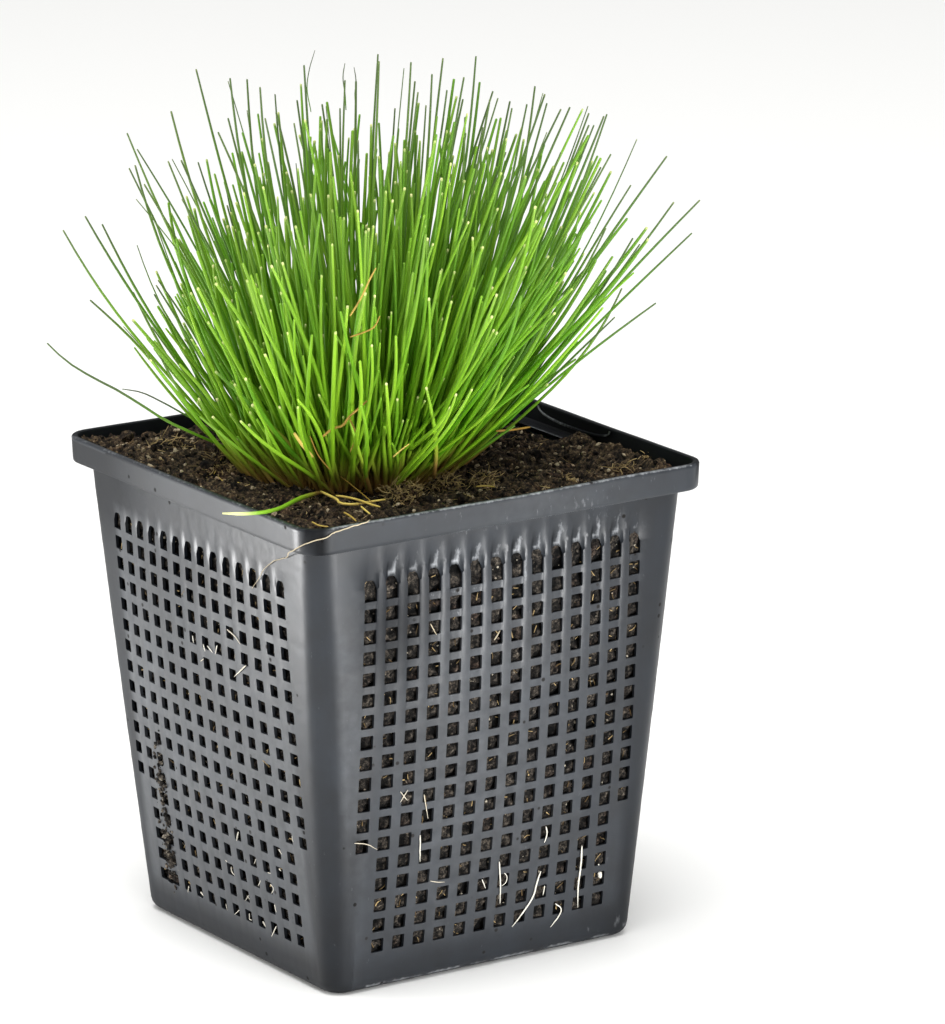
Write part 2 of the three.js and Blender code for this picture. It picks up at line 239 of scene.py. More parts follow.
# Tubes along many paths at once: paths is count x steps x 3, radii is count x steps.
def tubes(paths, radii, sides, values):
    count, steps, _ = paths.shape
    ahead = unit(np.gradient(paths, axis=1))
    across = np.cross(ahead[:, 0], [0, 0, 1.0])
    across[np.linalg.norm(across, axis=1) < 0.05] = [1.0, 0, 0]
    sideways = unit(across[:, None] - ahead * np.sum(across[:, None] * ahead, -1, keepdims=True))
    other = np.cross(ahead, sideways)
    turn = 2 * np.pi * np.arange(sides) / sides
    ring = (sideways[:, :, None] * np.cos(turn)[:, None] + other[:, :, None] * np.sin(turn)[:, None])
    walls = paths[:, :, None] + ring * radii[:, :, None, None]
    points = np.concatenate([walls.reshape(count, -1, 3), paths[:, :1], paths[:, -1:]], axis=1)
    each = steps * sides + 2
    faces, ends = [], []
    for step in range(steps - 1):
        for side in range(sides):
            a, b = step * sides + side, step * sides + (side + 1) % sides
            faces.append([a, b, b + sides, a + sides])
    for side in range(sides):
        nextSide = (side + 1) % sides
        ends.append([nextSide, side, each - 2])
        ends.append([(steps - 1) * sides + side, (steps - 1) * sides + nextSide, each - 1])
    start = each * np.arange(count)[:, None, None]
    allFaces = (np.array(faces) + start).reshape(-1, 4).tolist()
    allFaces += (np.array(ends) + start).reshape(-1, 3).tolist()
    spread = {}
    for key, numbers in values.items():
        rings = np.repeat(numbers, sides, axis=1)
        spread[key] = np.concatenate([rings, numbers[:, :1], numbers[:, -1:]], axis=1).ravel()
    return points.reshape(-1, 3), allFaces, spread


def bezier(start, knee, end, steps):
    t = np.linspace(0, 1, steps)[:, None]
    return start[:, None] * (1 - t) ** 2 + 2 * knee[:, None] * t * (1 - t) + end[:, None] * t ** 2


def smoothPath(points, steps):  # an even, rounded path through a few given points
    points = np.array(points, float)
    reach = np.concatenate([[0], np.cumsum(np.linalg.norm(np.diff(points, axis=0), axis=1))])
    slope = np.gradient(points, reach, axis=0)
    out = []
    for at in np.linspace(0, reach[-1], steps):
        i = min(np.searchsorted(reach, at, side="right") - 1, len(points) - 2)
        gap = reach[i + 1] - reach[i]
        t = (at - reach[i]) / gap
        out.append((2 * t ** 3 - 3 * t ** 2 + 1) * points[i] + (t ** 3 - 2 * t ** 2 + t) * gap * slope[i]
                   + (3 * t ** 2 - 2 * t ** 3) * points[i + 1] + (t ** 3 - t ** 2) * gap * slope[i + 1])
    return np.array(out)


def rough(points, size, octaves=4):  # smooth random heights from -1 to 1, with features of this size
    return np.array([noise.fractal(Vector(point / size), 0.9, 2.0, octaves) for point in points])


def roughShift(points, size, shifts):  # a different smooth random shift for x, y and z
    return np.stack([rough(points + shift, size, 2) for shift in shifts], -1)


def onePath(path, taper, sides, tone):  # one tube of one tone
    return tubes(path, taper[None], sides, {"tone": np.full((1, len(taper)), tone)})


# Camera, at the photograph's viewing angle

camera = {
    "place": (-709.1, -1114.3, 437.1), "turn": -33.19, "height": 15.05, "roll": -0.395,
    "lens": 167.07, "film": 24, "photoHeight": 1024, "photoMiddle": (470, 512), "shiftPixels": 2.5,
}

lens = bpy.data.cameras.new("camera")
lens.sensor_fit = "VERTICAL"
lens.sensor_height = camera["film"]
lens.sensor_width = camera["film"]
lens.lens = camera["lens"]
lens.shift_x = camera["shiftPixels"] / camera["photoHeight"]
lens.clip_start = 0.05
lens.clip_end = 20
eye = bpy.data.objects.new("camera", lens)
bpy.context.scene.collection.objects.link(eye)
eye.matrix_world = (Matrix.Translation(Vector(camera["place"]) * mm)
                    @ Matrix.Rotation(math.radians(camera["turn"]), 4, "Z")
                    @ Matrix.Rotation(math.radians(90 - camera["height"]), 4, "X")
                    @ Matrix.Rotation(math.radians(camera["roll"]), 4, "Z"))
bpy.context.scene.camera = eye
print("camera placed")


# From the photograph's pixels to places in millimetres
eyePlace = np.array(camera["place"])
eyeRight, eyeUp, eyeBack = (np.array(eye.matrix_world.to_3x3() @ Vector(axis)) for axis in np.eye(3))
eyeFocal = camera["lens"] / camera["film"] * camera["photoHeight"]  # in pixels
eyeMiddle = camera["photoMiddle"]
towardsEye = np.array([eyeBack[0], eyeBack[1], 0]) / math.hypot(eyeBack[0], eyeBack[1])


def throughPixel(pixelX, pixelY):  # the ray from the eye through a pixel
    right, down = (pixelX - eyeMiddle[0]) / eyeFocal, (pixelY - eyeMiddle[1]) / eyeFocal
    return eyeRight * right - eyeUp * down - eyeBack


def onPlane(pixelX, pixelY, nearer):  # on an upright plane, this far in front of the pot's middle
    ray = throughPixel(pixelX, pixelY)
    return eyePlace + ray * ((nearer - towardsEye @ eyePlace) / (towardsEye @ ray))


def onLevel(pixelX, pixelY, height):  # on a level plane at this height
    ray = throughPixel(pixelX, pixelY)
    return eyePlace + ray * ((height - eyePlace[2]) / ray[2])


# The pot's form: every wall is drawn as the front one, then turned round to its side

pot = {  # a list of four is for the front, right, back and left walls
    "height": 95, "rim": 90, "rimHeight": 5.2, "rimCorner": 5.3, "rimThickness": 1.3, "rimDraft": 0.2,
    "shoulder": 84, "base": 69, "corner": 5, "arcSteps": 8, "wall": 0.7, "floor": 1.6, "footRound": 2.2,
    "bulge": [3.0, 2.4, 2.4, 2.1], "bulgeSpan": 104, "unevenness": 0.045,
    "columns": 14, "rows": 18, "shortRows": 13, "topRow": 80, "pitchAcross": 4.56, "pitchUp": 4.166,
    "hole": 2.6, "holeUp": 2.76, "softEdge": 0.3, "softCorner": 0.05,
    "arch": 1.3, "archRise": 1.15, "archFoot": [81.8, 81.4, 81.4, 81.0], "archDrop": 0.6,
    "barRecess": [0.32, 0.05, 0.05, 0.03], "lowRecess": 0.06, "deepBars": 6, "behindRecess": 0.35,
    "besideHole": 0.6, "aboveHole": 0.85,  # shares of the recess at the holes' edges
    "leftSquash": (0.9, 0.85), "squashRows": 5,  # across and up, for the left wall's lower holes
    "flute": [1.0, 0.4, 0.4, 0.2], "fluteLength": [6.6, 4, 4, 3.4], "ribFlute": 3.2,
    "brokenRibs": [(3, 1, 15), (3, 1, 16), (3, 1, 17)],  # wall, column on its left, row
    # The grid's lines: heights of its plain levels, and places across its margins, holes and ribs
    "intoRim": 0.4, "shoulderLevels": (88.9, 88, 87.1, 86.3, 85.6, 84.9, 84.3, 83.8),
    "footLevels": (6.2, 4.4, 3.1, 2.2, 1.5, 0.9, 0.45, 0.15, 0.0),
    "marginLines": (0.0, 0.35, 0.7), "leastMargin": 0.8, "holeLine": 0.6, "ribLines": (0.3, 0.98, 1.66),
}
shoulderZ = pot["height"] - pot["rimHeight"]
middleColumn = (pot["columns"] - 1) / 2


def bodyHalf(z):
    return (pot["base"] + (pot["shoulder"] - pot["base"]) * z / shoulderZ) / 2


# Bows the four walls outwards, most in the middle of each.
def bowed(x, y, z):
    far = np.maximum(np.abs(x), np.abs(y))
    near = np.minimum(np.abs(x), np.abs(y))
    sideways = np.abs(x) >= np.abs(y)
    front, right, back, left = pot["bulge"]
    depth = np.where(sideways, np.where(x > 0, right, left), np.where(y > 0, back, front))
    rise = np.sin(np.pi * np.clip(z, 0, pot["bulgeSpan"]) / pot["bulgeSpan"])
    push = depth * rise * (1 - (near / np.maximum(far, 1)) ** 2)
    return np.where(sideways, x + np.sign(x) * push, x), np.where(sideways, y, y + np.sign(y) * push)


def turned(across, out, wall):  # from along and out of a wall to x and y
    return [(across, -out), (out, across), (-across, out), (-out, -across)][wall]


def onWall(across, up, wall, proud):  # a place on a wall's outside, or off it by this much
    x, y = turned(across, bodyHalf(up), wall)
    x, y = bowed(np.array(float(x)), np.array(float(y)), up)
    nx, ny = turned(0.0, 1.0, wall)
    return float(x) + nx * proud, float(y) + ny * proud, up


def footInset(z):  # how far the walls draw in round the foot's edge
    foot = pot["footRound"]
    return foot - math.sqrt(foot ** 2 - (foot - z) ** 2) if z < foot else 0.0


# Levels of the wall's grid from the top down, and its columns, with the holes' edges and soft corners
def wallLevels():
    half, soft = pot["holeUp"] / 2, pot["softEdge"]
    levels = [("plain", z, -1) for z in (shoulderZ + pot["intoRim"], *pot["shoulderLevels"])]
    for row in range(pot["rows"]):
        middle = pot["topRow"] - row * pot["pitchUp"]
        if 0 < row <= pot["deepBars"] + 1:
            levels.append(("plain", middle + pot["pitchUp"] / 2, row))
        levels.append(("holeTop", middle + half, row))
        levels.append(("holeHigh", middle + half - soft, row))
        levels.append(("holeLow", middle - half + soft, row))
        levels.append(("holeBottom", middle - half, row))
    levels += [("plain", z, pot["rows"]) for z in pot["footLevels"]]
    return levels


def wallColumns():
    half, soft, line = pot["hole"] / 2, pot["softEdge"], pot["holeLine"]
    columns = [("margin", -1, share) for share in pot["marginLines"]]
    for column in range(pot["columns"]):
        for offset in (-half, -half + soft, -line, line, half - soft, half):
            columns.append(("hole", column, offset))
        if column < pot["columns"] - 1:
            for offset in pot["ribLines"]:
                columns.append(("rib", column, half + offset))
    columns += [("margin", 1, share) for share in pot["marginLines"][::-1]]
    return columns


def isOpen(column, row):  # the outermost columns stop higher up
    return 0 <= row < (pot["shortRows"] if column in (0, pot["columns"] - 1) else pot["rows"])


def wallPoint(wall, level, column):  # place across the wall, height, and depth below the wall's face
    levelKind, z, row = level
    kind, which, value = column
    half = pot["hole"] / 2
    outermost = middleColumn * pot["pitchAcross"] + half
    inner = outermost - pot["pitchAcross"]
    flat = bodyHalf(z) * (1 - 2 * pot["corner"] / pot["shoulder"])
    edge = min(outermost, flat - pot["leastMargin"])
    if kind == "margin":
        return which * (edge + (flat - edge) * (1 - value)), z, 0.0
    middle = (which - middleColumn) * pot["pitchAcross"]
    isCorner = kind == "hole" and abs(value) == half and levelKind in ("holeTop", "holeBottom") and row > 0
    narrow = 1
    if wall == 3 and kind == "hole" and row > 0:
        narrow, low = (1 + (squash - 1) * min(row / pot["squashRows"], 1) for squash in pot["leftSquash"])
        rowMiddle = pot["topRow"] - row * pot["pitchUp"]
        z = rowMiddle + (z - rowMiddle) * low if levelKind != "plain" else z
    across = middle + value * narrow - (math.copysign(pot["softCorner"], value) if isCorner else 0)
    if isCorner:
        z += pot["softCorner"] * (-1 if levelKind == "holeTop" else 1)
    if abs(across) > inner:
        squeeze = (edge - inner) / (outermost - inner)
        across = math.copysign(inner + (abs(across) - inner) * squeeze, across)
    archFoot = pot["archFoot"][wall] - pot["archDrop"] * (middle / outermost) ** 4
    if row == 0 and levelKind in ("holeTop", "holeHigh"):
        rise = pot["archRise"] * math.sqrt(max(pot["arch"] ** 2 - value ** 2, 0)) if kind == "hole" else 0
        z = archFoot + rise if levelKind == "holeTop" else min(archFoot + rise - pot["softEdge"], archFoot)
        z = archFoot if kind == "rib" else z
    away = abs(value) if kind == "hole" else half + min(value - half, pot["pitchAcross"] - half - value)
    if row == -1 or (row == 0 and levelKind == "holeTop"):
        up = min(max((z - archFoot - pot["arch"]) / pot["fluteLength"][wall], 0), 1)
        dip = math.cos(math.pi / 2 * min(2 * away / pot["pitchAcross"], 1)) ** 1.2
        if kind == "rib":
            dip *= min(max((z - archFoot) / pot["ribFlute"], 0), 1)
        return across, z, pot["flute"][wall] * (1 - up) ** 1.5 * dip
    openHere = isOpen(which, min(row, pot["rows"] - 1)) and row < pot["rows"]
    if kind == "rib" or not openHere:
        return across, z, 0.0
    low = pot["lowRecess"]
    recess = low + (pot["barRecess"][wall] - low) * max(1 - max(row - 1, 0) / pot["deepBars"], 0)
    if abs(value) == half:
        return across, z, recess * pot["besideHole"]
    return across, z, recess * (1 if levelKind == "plain" else pot["aboveHole"])


def wallSurface(wall, levels, columns):
    count = len(columns) + pot["arcSteps"] - 1
    outer = np.zeros((len(levels), count, 3))
    inside = np.zeros((len(levels), count, 3))
    for i, level in enumerate(levels):
        for j in range(count):
            if j < len(columns):
                across, z, recess = wallPoint(wall, level, columns[j])
                out = bodyHalf(z) - footInset(z)
                aim = turned(0.0, 1.0, wall)
            else:
                z, recess = level[1], 0.0
                radius = bodyHalf(z) * 2 * pot["corner"] / pot["shoulder"]
                angle = (j - len(columns) + 1) / pot["arcSteps"] * math.pi / 2
                flat = bodyHalf(z) - radius
                across = flat + (radius - footInset(z)) * math.sin(angle)
                out = flat + (radius - footInset(z)) * math.cos(angle)
                aim = turned(math.sin(angle), math.cos(angle), wall)
            x, y = turned(across, out, wall)
            x, y = bowed(np.array(float(x)), np.array(float(y)), z)
            outer[i, j] = (x - aim[0] * recess, y - aim[1] * recess, z)
            thick = max(pot["wall"], recess + pot["behindRecess"])
            inside[i, j] = (x - aim[0] * thick, y - aim[1] * thick, z)
    return outer, inside


def isHole(levels, columns, wall, i, j):  # whether the cell below level i and right of column j is open
    if j >= len(columns) - 1 or i >= len(levels) - 1:
        return False
    levelKind, _, row = levels[i]
    if levelKind not in ("holeTop", "holeHigh", "holeLow"):
        return False
    kind, column, _ = columns[j]
    nextKind, nextColumn, _ = columns[j + 1]
    kinds = (kind, nextKind)
    if (wall, column, row) in pot["brokenRibs"] and "rib" in kinds and "margin" not in kinds:
        return True
    return kinds == ("hole", "hole") and column == nextColumn and isOpen(column, row)


def potBody():
    levels, columns = wallLevels(), wallColumns()
    walls = [wallSurface(wall, levels, columns) for wall in range(4)]
    outer = np.concatenate([wall[0] for wall in walls], axis=1)
    inside = np.concatenate([wall[1] for wall in walls], axis=1)
    rows, count = outer.shape[:2]
    each = count // 4
    solid = np.ones((rows - 1, count), bool)
    for i in range(rows - 1):
        for j in range(count):
            solid[i, j] = not isHole(levels, columns, j // each, i, j % each)
    # Every moulded edge is a little uneven.
    wobble = pot["unevenness"] * roughShift(outer.reshape(-1, 3), 1.7, (0, 40, 80))
    points = np.concatenate([outer.reshape(-1, 3) + wobble, inside.reshape(-1, 3) + wobble])
    back = rows * count
    faces = []
    for i in range(rows - 1):
        for j in range(count):
            k = (j + 1) % count
            a, b, c, d = i * count + j, i * count + k, (i + 1) * count + k, (i + 1) * count + j
            if solid[i, j]:
                faces.append([a, d, c, b])
                faces.append([a + back, b + back, c + back, d + back])
                continue
            if solid[i, (j - 1) % count]:
                faces.append([a + back, d + back, d, a])
            if solid[i, k]:
                faces.append([b, c, c + back, b + back])
            if i == 0 or solid[i - 1, j]:
                faces.append([a, b, b + back, a + back])
            if i == rows - 2 or solid[i + 1, j]:
                faces.append([d + back, c + back, c, d])
    return points, faces, pastValues(points)


# Traces of the pot's past, with painted highlights and painted shade, on its front and left walls. The tables
# go from places across or up a wall, in mm, to strengths.
past = {
    "archGlints": [0.95, 0.6, 0.85, 0.85, 0.75, 0.6, 1.0, 0.8, 0.95, 0.75, 0.9, 0.75, 0.35],  # arch 2 on
    "archGlintShapes": [(0.25, 0.6, 0.4, 0.8, 0.25, 1.5), (0.5, 1.9, 0.35, 1.7, 0.2, 0.62),
                     (-0.5, 0.4, 0.22, 0.6, -0.3, 0.8)],
    "archShadeShape": (-0.95, 1.7, 0.45, 1.6, 0.1, 0.85),
    "scuffs": [  # across, up, half width, half height, slant, strength
        (-11.9, 91.5, 0.25, 5.0, 0.1, 0.3), (-11.0, 89.8, 1.6, 0.4, 0, 0.25), (-0.5, 87, 0.25, 2.6, 0, 0.25),
        (2.4, 92.6, 0.25, 3.0, 0.1, 0.25), (-5.3, 88.9, 4.5, 0.6, 0, 0.2), (9, 92.3, 6.5, 1.6, 0, 0.15),
        (16, 90.9, 6, 0.7, 0, 0.2), (12.2, 86.4, 1.3, 1.5, 0, 0.3), (21, 87.5, 6, 1.5, 0, 0.17),
        (4.1, 79.4, 0.35, 4.4, 0, 0.5), (26, 93.2, 9, 1.2, 0, 0.1), (-18, 93.4, 5, 0.7, 0, 0.14),
        (30.5, 3.4, 1.1, 2.0, 0.4, 0.3), (24, 3.2, 1.6, 1.0, 0, 0.2), (32.8, 2.2, 1.2, 0.8, 0, 0.45),
        # Those on the upper bars below, and the streak at 4.1 across and 79.4 up, are painted highlights.
        (-15.9, 78.0, 1.0, 0.5, 0, 0.4), (-11.4, 77.8, 0.9, 0.45, 0, 0.45), (-6.9, 78.0, 0.9, 0.45, 0, 0.45),
        (-11.3, 73.8, 0.9, 0.4, 0, 0.3), (-6.9, 74.0, 0.9, 0.4, 0, 0.35),
    ],
    "upperLeftShade": (-25, 73, 8, 13, 0, 0.6),  # painted shade on the front's upper left bars
    "foot": 0.62, "footRub": (0.85, 0.35), "footEnds": (-27, 31),  # its height and spread, and its ends
    "rimEdge": 0.36, "rimPatches": 0.12, "rimFaint": -43.5, "patches": (0.62, 1.2), "patchSize": 5,
    "ledge": 0.5, "ledgePlace": (40.6, 0.4), "ledgeEnds": (-2.5, 10.5),  # a painted highlight on an edge inside the rim
    "barsFoot": (5, 9), "barsTop": (84, 81), "barsSide": (31, 29), "barsCorner": (3, 4.5),
    "hazeAcross": ([-36, -30, -28, -24, -13, 0, 12, 22],
                    [0.055, 0.05, 0.02, 0.03, 0.075, 0.075, 0.05, 0.03]),
    "hazeUp": ([4, 12, 24, 34, 60, 73, 84], [0.2, 0.5, 0.7, 1, 1, 0.7, 0]),
    "hazeUpLeft": ([12, 19, 31, 42, 54, 66, 76], [0.03, 0.045, 0.08, 0.075, 0.045, 0.015, 0]),
    "hazeFarLeft": 0.05, "hazeUnseen": 0.05, "hazeRim": 0.035, "hazeRimPlace": (6, 20),
    "shadeLeft": 0.54, "shadeFarLeft": 0.36, "shadeHighLeft": 0.22, "shadeFront": 0.3,
    "shadeCorner": 0.85, "shadeCornerPlace": (-42, -44.5), "shadeCornerSpread": 2, "withinRim": 0.72,
}


def markedBy(points, marks):  # the strongest of the marks at each point of the front wall
    x, y, z = points.T
    markStrength = np.zeros(len(points))
    for across, up, wide, tall, slant, strength in marks:
        spread = ((x - across - slant * (z - up)) / wide) ** 2 + ((z - up) / tall) ** 2
        markStrength = np.maximum(markStrength, np.where(y < -30, strength * np.exp(-spread), 0))
    return markStrength


def pastValues(points):  # wear with painted highlights, a pale haze and painted shade
    x, y, z = points.T
    far = np.maximum(np.abs(x), np.abs(y))
    near = np.minimum(np.abs(x), np.abs(y))
    front, left = y < -30, (x < -30) & (y > -38)
    onWalls = z < shoulderZ

    # Painted highlights over the front arches, each with painted shade at its left
    bright, dark = list(past["scuffs"]), [past["upperLeftShade"]]
    low = pot["archFoot"][0] + pot["arch"]
    for column, glint in enumerate(past["archGlints"], 1):
        middle = (column - middleColumn) * pot["pitchAcross"]
        for marks, shapes in ((bright, past["archGlintShapes"]), (dark, [past["archShadeShape"]])):
            for across, up, wide, tall, slant, strength in shapes:
                marks.append((middle + across, low + up, wide, tall, slant, strength * glint))

    # The foot's edge is rubbed in front, and the rim's top edge is paler all round.
    level, gain = past["patches"]
    patches = np.clip(level + gain * rough(points * [1, 1, 0.2], past["patchSize"], 3), 0, 1)
    (up, spread), (first, last) = past["footRub"], past["footEnds"]
    foot = past["foot"] * patches * np.exp(-((z - up) / spread) ** 2) * (front & (x > first) & (x < last))
    edge = (past["rimEdge"] + past["rimPatches"] * patches) * (z > pot["height"] - 0.3)
    edge *= (far > pot["rim"] / 2 - 0.5) * np.where(x < past["rimFaint"], 0.5, 1)
    markStrength = np.maximum.reduce([markedBy(points, bright), foot, edge])
    inTheRim = (far < pot["rim"] / 2 - 0.65) & (z > shoulderZ + 1)
    # Painted highlight: the ledge's edge inside the rim is pale, and free of painted shade.
    (place, half), (first, last) = past["ledgePlace"], past["ledgeEnds"]
    ledge = (np.abs(x - place) < half) & (y > first) & (y < last) & (z > shoulderZ + 1)
    markStrength = np.where(ledge, past["ledge"], markStrength)

    # A pale haze lightens the bars, uneven across the front and strongest low on the left.
    bars = fade(z, *past["barsFoot"]) * fade(z, *past["barsTop"]) * fade(near, *past["barsSide"])
    pastCorner = fade(x + bodyHalf(z), *past["barsCorner"])
    frontHaze = np.interp(x, *past["hazeAcross"]) * np.interp(z, *past["hazeUp"])
    frontHaze *= np.where(x < -28, pastCorner, bars)
    leftHaze = np.interp(z, *past["hazeUpLeft"]) + past["hazeFarLeft"] * fade(y, 8, 22) * fade(z, 38, 48)
    bloom = np.where(front, frontHaze, bars * np.where(left, leftHaze, past["hazeUnseen"]))
    place, spread = past["hazeRimPlace"]
    bloom = np.where(onWalls, bloom, past["hazeRim"] * front * np.exp(-((x - place) / spread) ** 2))

    # Painted shade, darker and less glossy, lies between: low and far back on the left, low and right in
    # front, and on the near corner.
    film = past["shadeLeft"] * fade(z, 55, 0) * (1 - bars) * (onWalls & left)
    farShade = (past["shadeFarLeft"] + past["shadeHighLeft"] * fade(z, 72, 82)) * fade(y, 4, 28) * (1 - bars)
    farShade *= left & (z < pot["height"] - 0.5)
    frontShade = past["shadeFront"] * (fade(z, 35, 0) * (1 - bars) + fade(x, 18, 32)) * (onWalls & front)
    (placeX, placeY), spread = past["shadeCornerPlace"], past["shadeCornerSpread"]
    away = ((x - placeX) / spread) ** 2 + ((y - placeY) / spread) ** 2
    cornerShade = past["shadeCorner"] * np.exp(-away) * ~onWalls
    # Painted shade inside the rim and beside the arches.
    grime = np.maximum(markedBy(points, dark), past["withinRim"] * inTheRim) * ~ledge
    grime = np.maximum.reduce([grime, film, farShade, frontShade, cornerShade])
    return {"wear": markStrength, "bloom": bloom, "grime": grime}


def ringAround(half, corner, z, straight=100, arc=8):  # one level of a square ring with round corners
    flat = half - corner
    points = [(-flat + 2 * flat * i / straight, half) for i in range(straight)]
    for i in range(arc):
        angle = i / arc * math.pi / 2
        points.append((flat + corner * math.sin(angle), flat + corner * math.cos(angle)))
    return np.array([(*turned(across, out, wall), z) for wall in range(4) for across, out in points])


def potRim():
    half, top, low = pot["rim"] / 2, pot["height"], shoulderZ
    thick, draft = pot["rimThickness"], pot["rimDraft"]
    profile = [  # how far in, and the height
        (4.4, low + 0.05), (0.6 + draft, low), (0.25 + draft, low + 0.12), (0.05 + draft, low + 0.4),
        (draft, low + 0.9), (0.05, top - 0.9), (0.02, top - 0.45), (0.15, top - 0.14), (0.4, top),
        (thick - 0.4, top), (thick - 0.12, top - 0.14), (thick, top - 0.45), (thick + draft, low + 1.5),
        (thick + draft + 0.3, low + 1.2), (3.6, low + 1.16), (4.4, low + 1.15),
    ]
    rings = [ringAround(half - inset, max(pot["rimCorner"] - inset, 0.6), z) for inset, z in profile]
    points = np.concatenate(rings)
    points[:, :2] += 0.12 * np.stack([rough(points, 30, 2), rough(points + 50, 30, 2)], -1)
    points[:, 2] += np.where(points[:, 2] > low + 2, 0.15 * rough(points, 26, 2), 0)
    around = len(rings[0])
    faces = []
    for i in range(len(profile) - 1):
        for j in range(around):
            k = (j + 1) % around
            faces.append([i * around + j, i * around + k, (i + 1) * around + k, (i + 1) * around + j])
    return points, faces, pastValues(points)


# Floor of the pot with its square drain holes
drain = {"size": 6, "pitch": 17, "floorHalf": 33.2}


def potFloor():
    middles = [centre * drain["pitch"] for centre in (-1, 0, 1)]
    lines = [middle + side * drain["size"] / 2 for middle in middles for side in (-1, 1)]
    lines = [-drain["floorHalf"], *lines, drain["floorHalf"]]
    shapes = []
    for i in range(7):
        for j in range(7):
            if i % 2 and j % 2 and not (i == 3 and j == 3):
                continue
            x0, x1, y0, y1 = lines[i], lines[i + 1], lines[j], lines[j + 1]
            square = ((x0, y0), (x1, y0), (x1, y1), (x0, y1))
            points = np.array([(x, y, z) for z in (0.05, pot["floor"]) for x, y in square], float)
            points[:4, :2] *= 0.94  # the foot's edge is round
            sides = [[k, (k + 1) % 4, (k + 1) % 4 + 4, k + 4] for k in range(4)]
            shapes.append((points, [[3, 2, 1, 0], [4, 5, 6, 7], *sides], {}))
    return joinShapes(shapes)


# The moulded half moon inside the right-hand wall: a raised line with a painted highlight at its far end, and
# painted shade on the wall round it
moon = {
    "middle": -1.3, "halfWidth": 12.7, "depth": 2.4, "raised": 0.45, "line": 0.45, "steps": 33,
    "light": ([-14, -12.5, -11, -9, -2, 5, 11], [0.5, 0.5, 0.1, 0.05, 0.12, 0.6, 0.85]),
}


def halfMoon():
    inner = pot["rim"] / 2 - pot["rimThickness"] - pot["rimDraft"]
    top, line, raised, steps = pot["height"] - 0.3, moon["line"], moon["raised"], moon["steps"]
    side = np.cos(np.linspace(0, np.pi, steps))
    drop = (1 - np.abs(side) ** 2.4) ** (1 / 2.4)
    rings, wear, grime = [], [], []
    profile = ((0, 0, 0.8), (raised, 0.1, 0.2), (raised, line, 0.2), (0.12, line + 0.1, 0.7))
    for depth, narrower, innerShade in profile:
        across = moon["middle"] + (moon["halfWidth"] - narrower) * side
        height = top - (moon["depth"] - narrower) * drop
        rings.append(np.stack([np.full(steps, inner - depth), across, height], -1))
        wear.append(np.interp(across, *moon["light"]) * (depth == raised))
        grime.append(np.full(steps, innerShade))
    points = np.concatenate(rings + [[[inner - 0.12, moon["middle"], top]]])
    starts = [level * steps + i for level in range(3) for i in range(steps - 1)]
    faces = [[a, a + 1, a + steps + 1, a + steps] for a in starts]
    faces += [[3 * steps + i, 3 * steps + 1 + i, 4 * steps] for i in range(steps - 1)]
    wear, grime = np.append(np.concatenate(wear), 0), np.append(np.concatenate(grime), 0.7)
    return points, faces, {"wear": wear, "grime": grime}


plastic = mouldedPlastic()
makePiece("meshPot", joinShapes([potBody(), potFloor()]), plastic, ["mesh_pot"], 35)
makePiece("potRim", joinShapes([potRim(), halfMoon()]), plastic, ["mesh_pot"], 35)


# Soil: a crumbly top that slopes down to the right, and sides that show through the mesh

soil = {
    "level": 91.3, "slope": 0.045, "lumps": 1.3, "humps": 0.7, "grain": 0.8, "fineGrain": 0.35,
    "bank": 2.7, "steps": 236, "sideSteps": (110, 130), "sideGap": 0.08, "sideRough": 0.9,
    "crumbs": 3700, "clods": 170, "fibres": 420, "sideFibres": 230, "sideCrumbs": 1000,
    "openHalf": 43.2, "lowHalf": 41.2, "bitShare": 0.45, "sideSpan": (1.8, 91), "sideShort": 1.5,
    "lumpSize": 10, "humpSize": 3.6, "grainSize": 2.6, "fineSize": 1.1, "sideGrainSize": 2.4,
    "bankAcross": (34, 42), "bankAlong": (1, -5), "underClump": (20, 28), "clumpDip": 0.7,
    "topTone": (0.15, 0.26, 0.16), "sideTone": (0.1, 0.36),  # a base, and what each grain adds
}


def soilHeight(points):
    x, y = points[:, 0], points[:, 1]
    flat = np.stack([x, y, np.zeros(len(x))], -1)
    ground = soil["level"] - soil["slope"] * x + soil["lumps"] * rough(flat, soil["lumpSize"], 3)
    ground += soil["humps"] * rough(flat + 70, soil["humpSize"], 2)
    # It is banked up against the right-hand wall, except towards the back.
    ground += soil["bank"] * fade(x, *soil["bankAcross"]) ** 1.2 * fade(y, *soil["bankAlong"])
    outside = fade(np.hypot(x, y), *soil["underClump"])
    return ground * outside + (soil["level"] - soil["clumpDip"] + 0.5 * rough(flat, 6, 3)) * (1 - outside)


def insidePot(x, y, half, corner=4):  # pulls places back to the rounded square inside the pot
    flat = half - corner  # half is one number, or one for each place
    px, py = np.abs(x) - flat, np.abs(y) - flat
    far = np.hypot(np.maximum(px, 0), np.maximum(py, 0))
    pull = np.where(far > corner, corner / np.maximum(far, 1e-6), 1)
    nx = np.where(px > 0, flat + px * pull, np.abs(x))
    ny = np.where(py > 0, flat + py * pull, np.abs(y))
    return np.sign(x) * nx, np.sign(y) * ny


def gridFaces(rows, columns):
    return [[i * columns + j, i * columns + j + 1, (i + 1) * columns + j + 1, (i + 1) * columns + j]
            for i in range(rows - 1) for j in range(columns - 1)]


def lumpy(points, size, octaves):  # round lumps with sharp gaps between them
    return 0.5 - 2 * np.abs(rough(points, size, octaves))


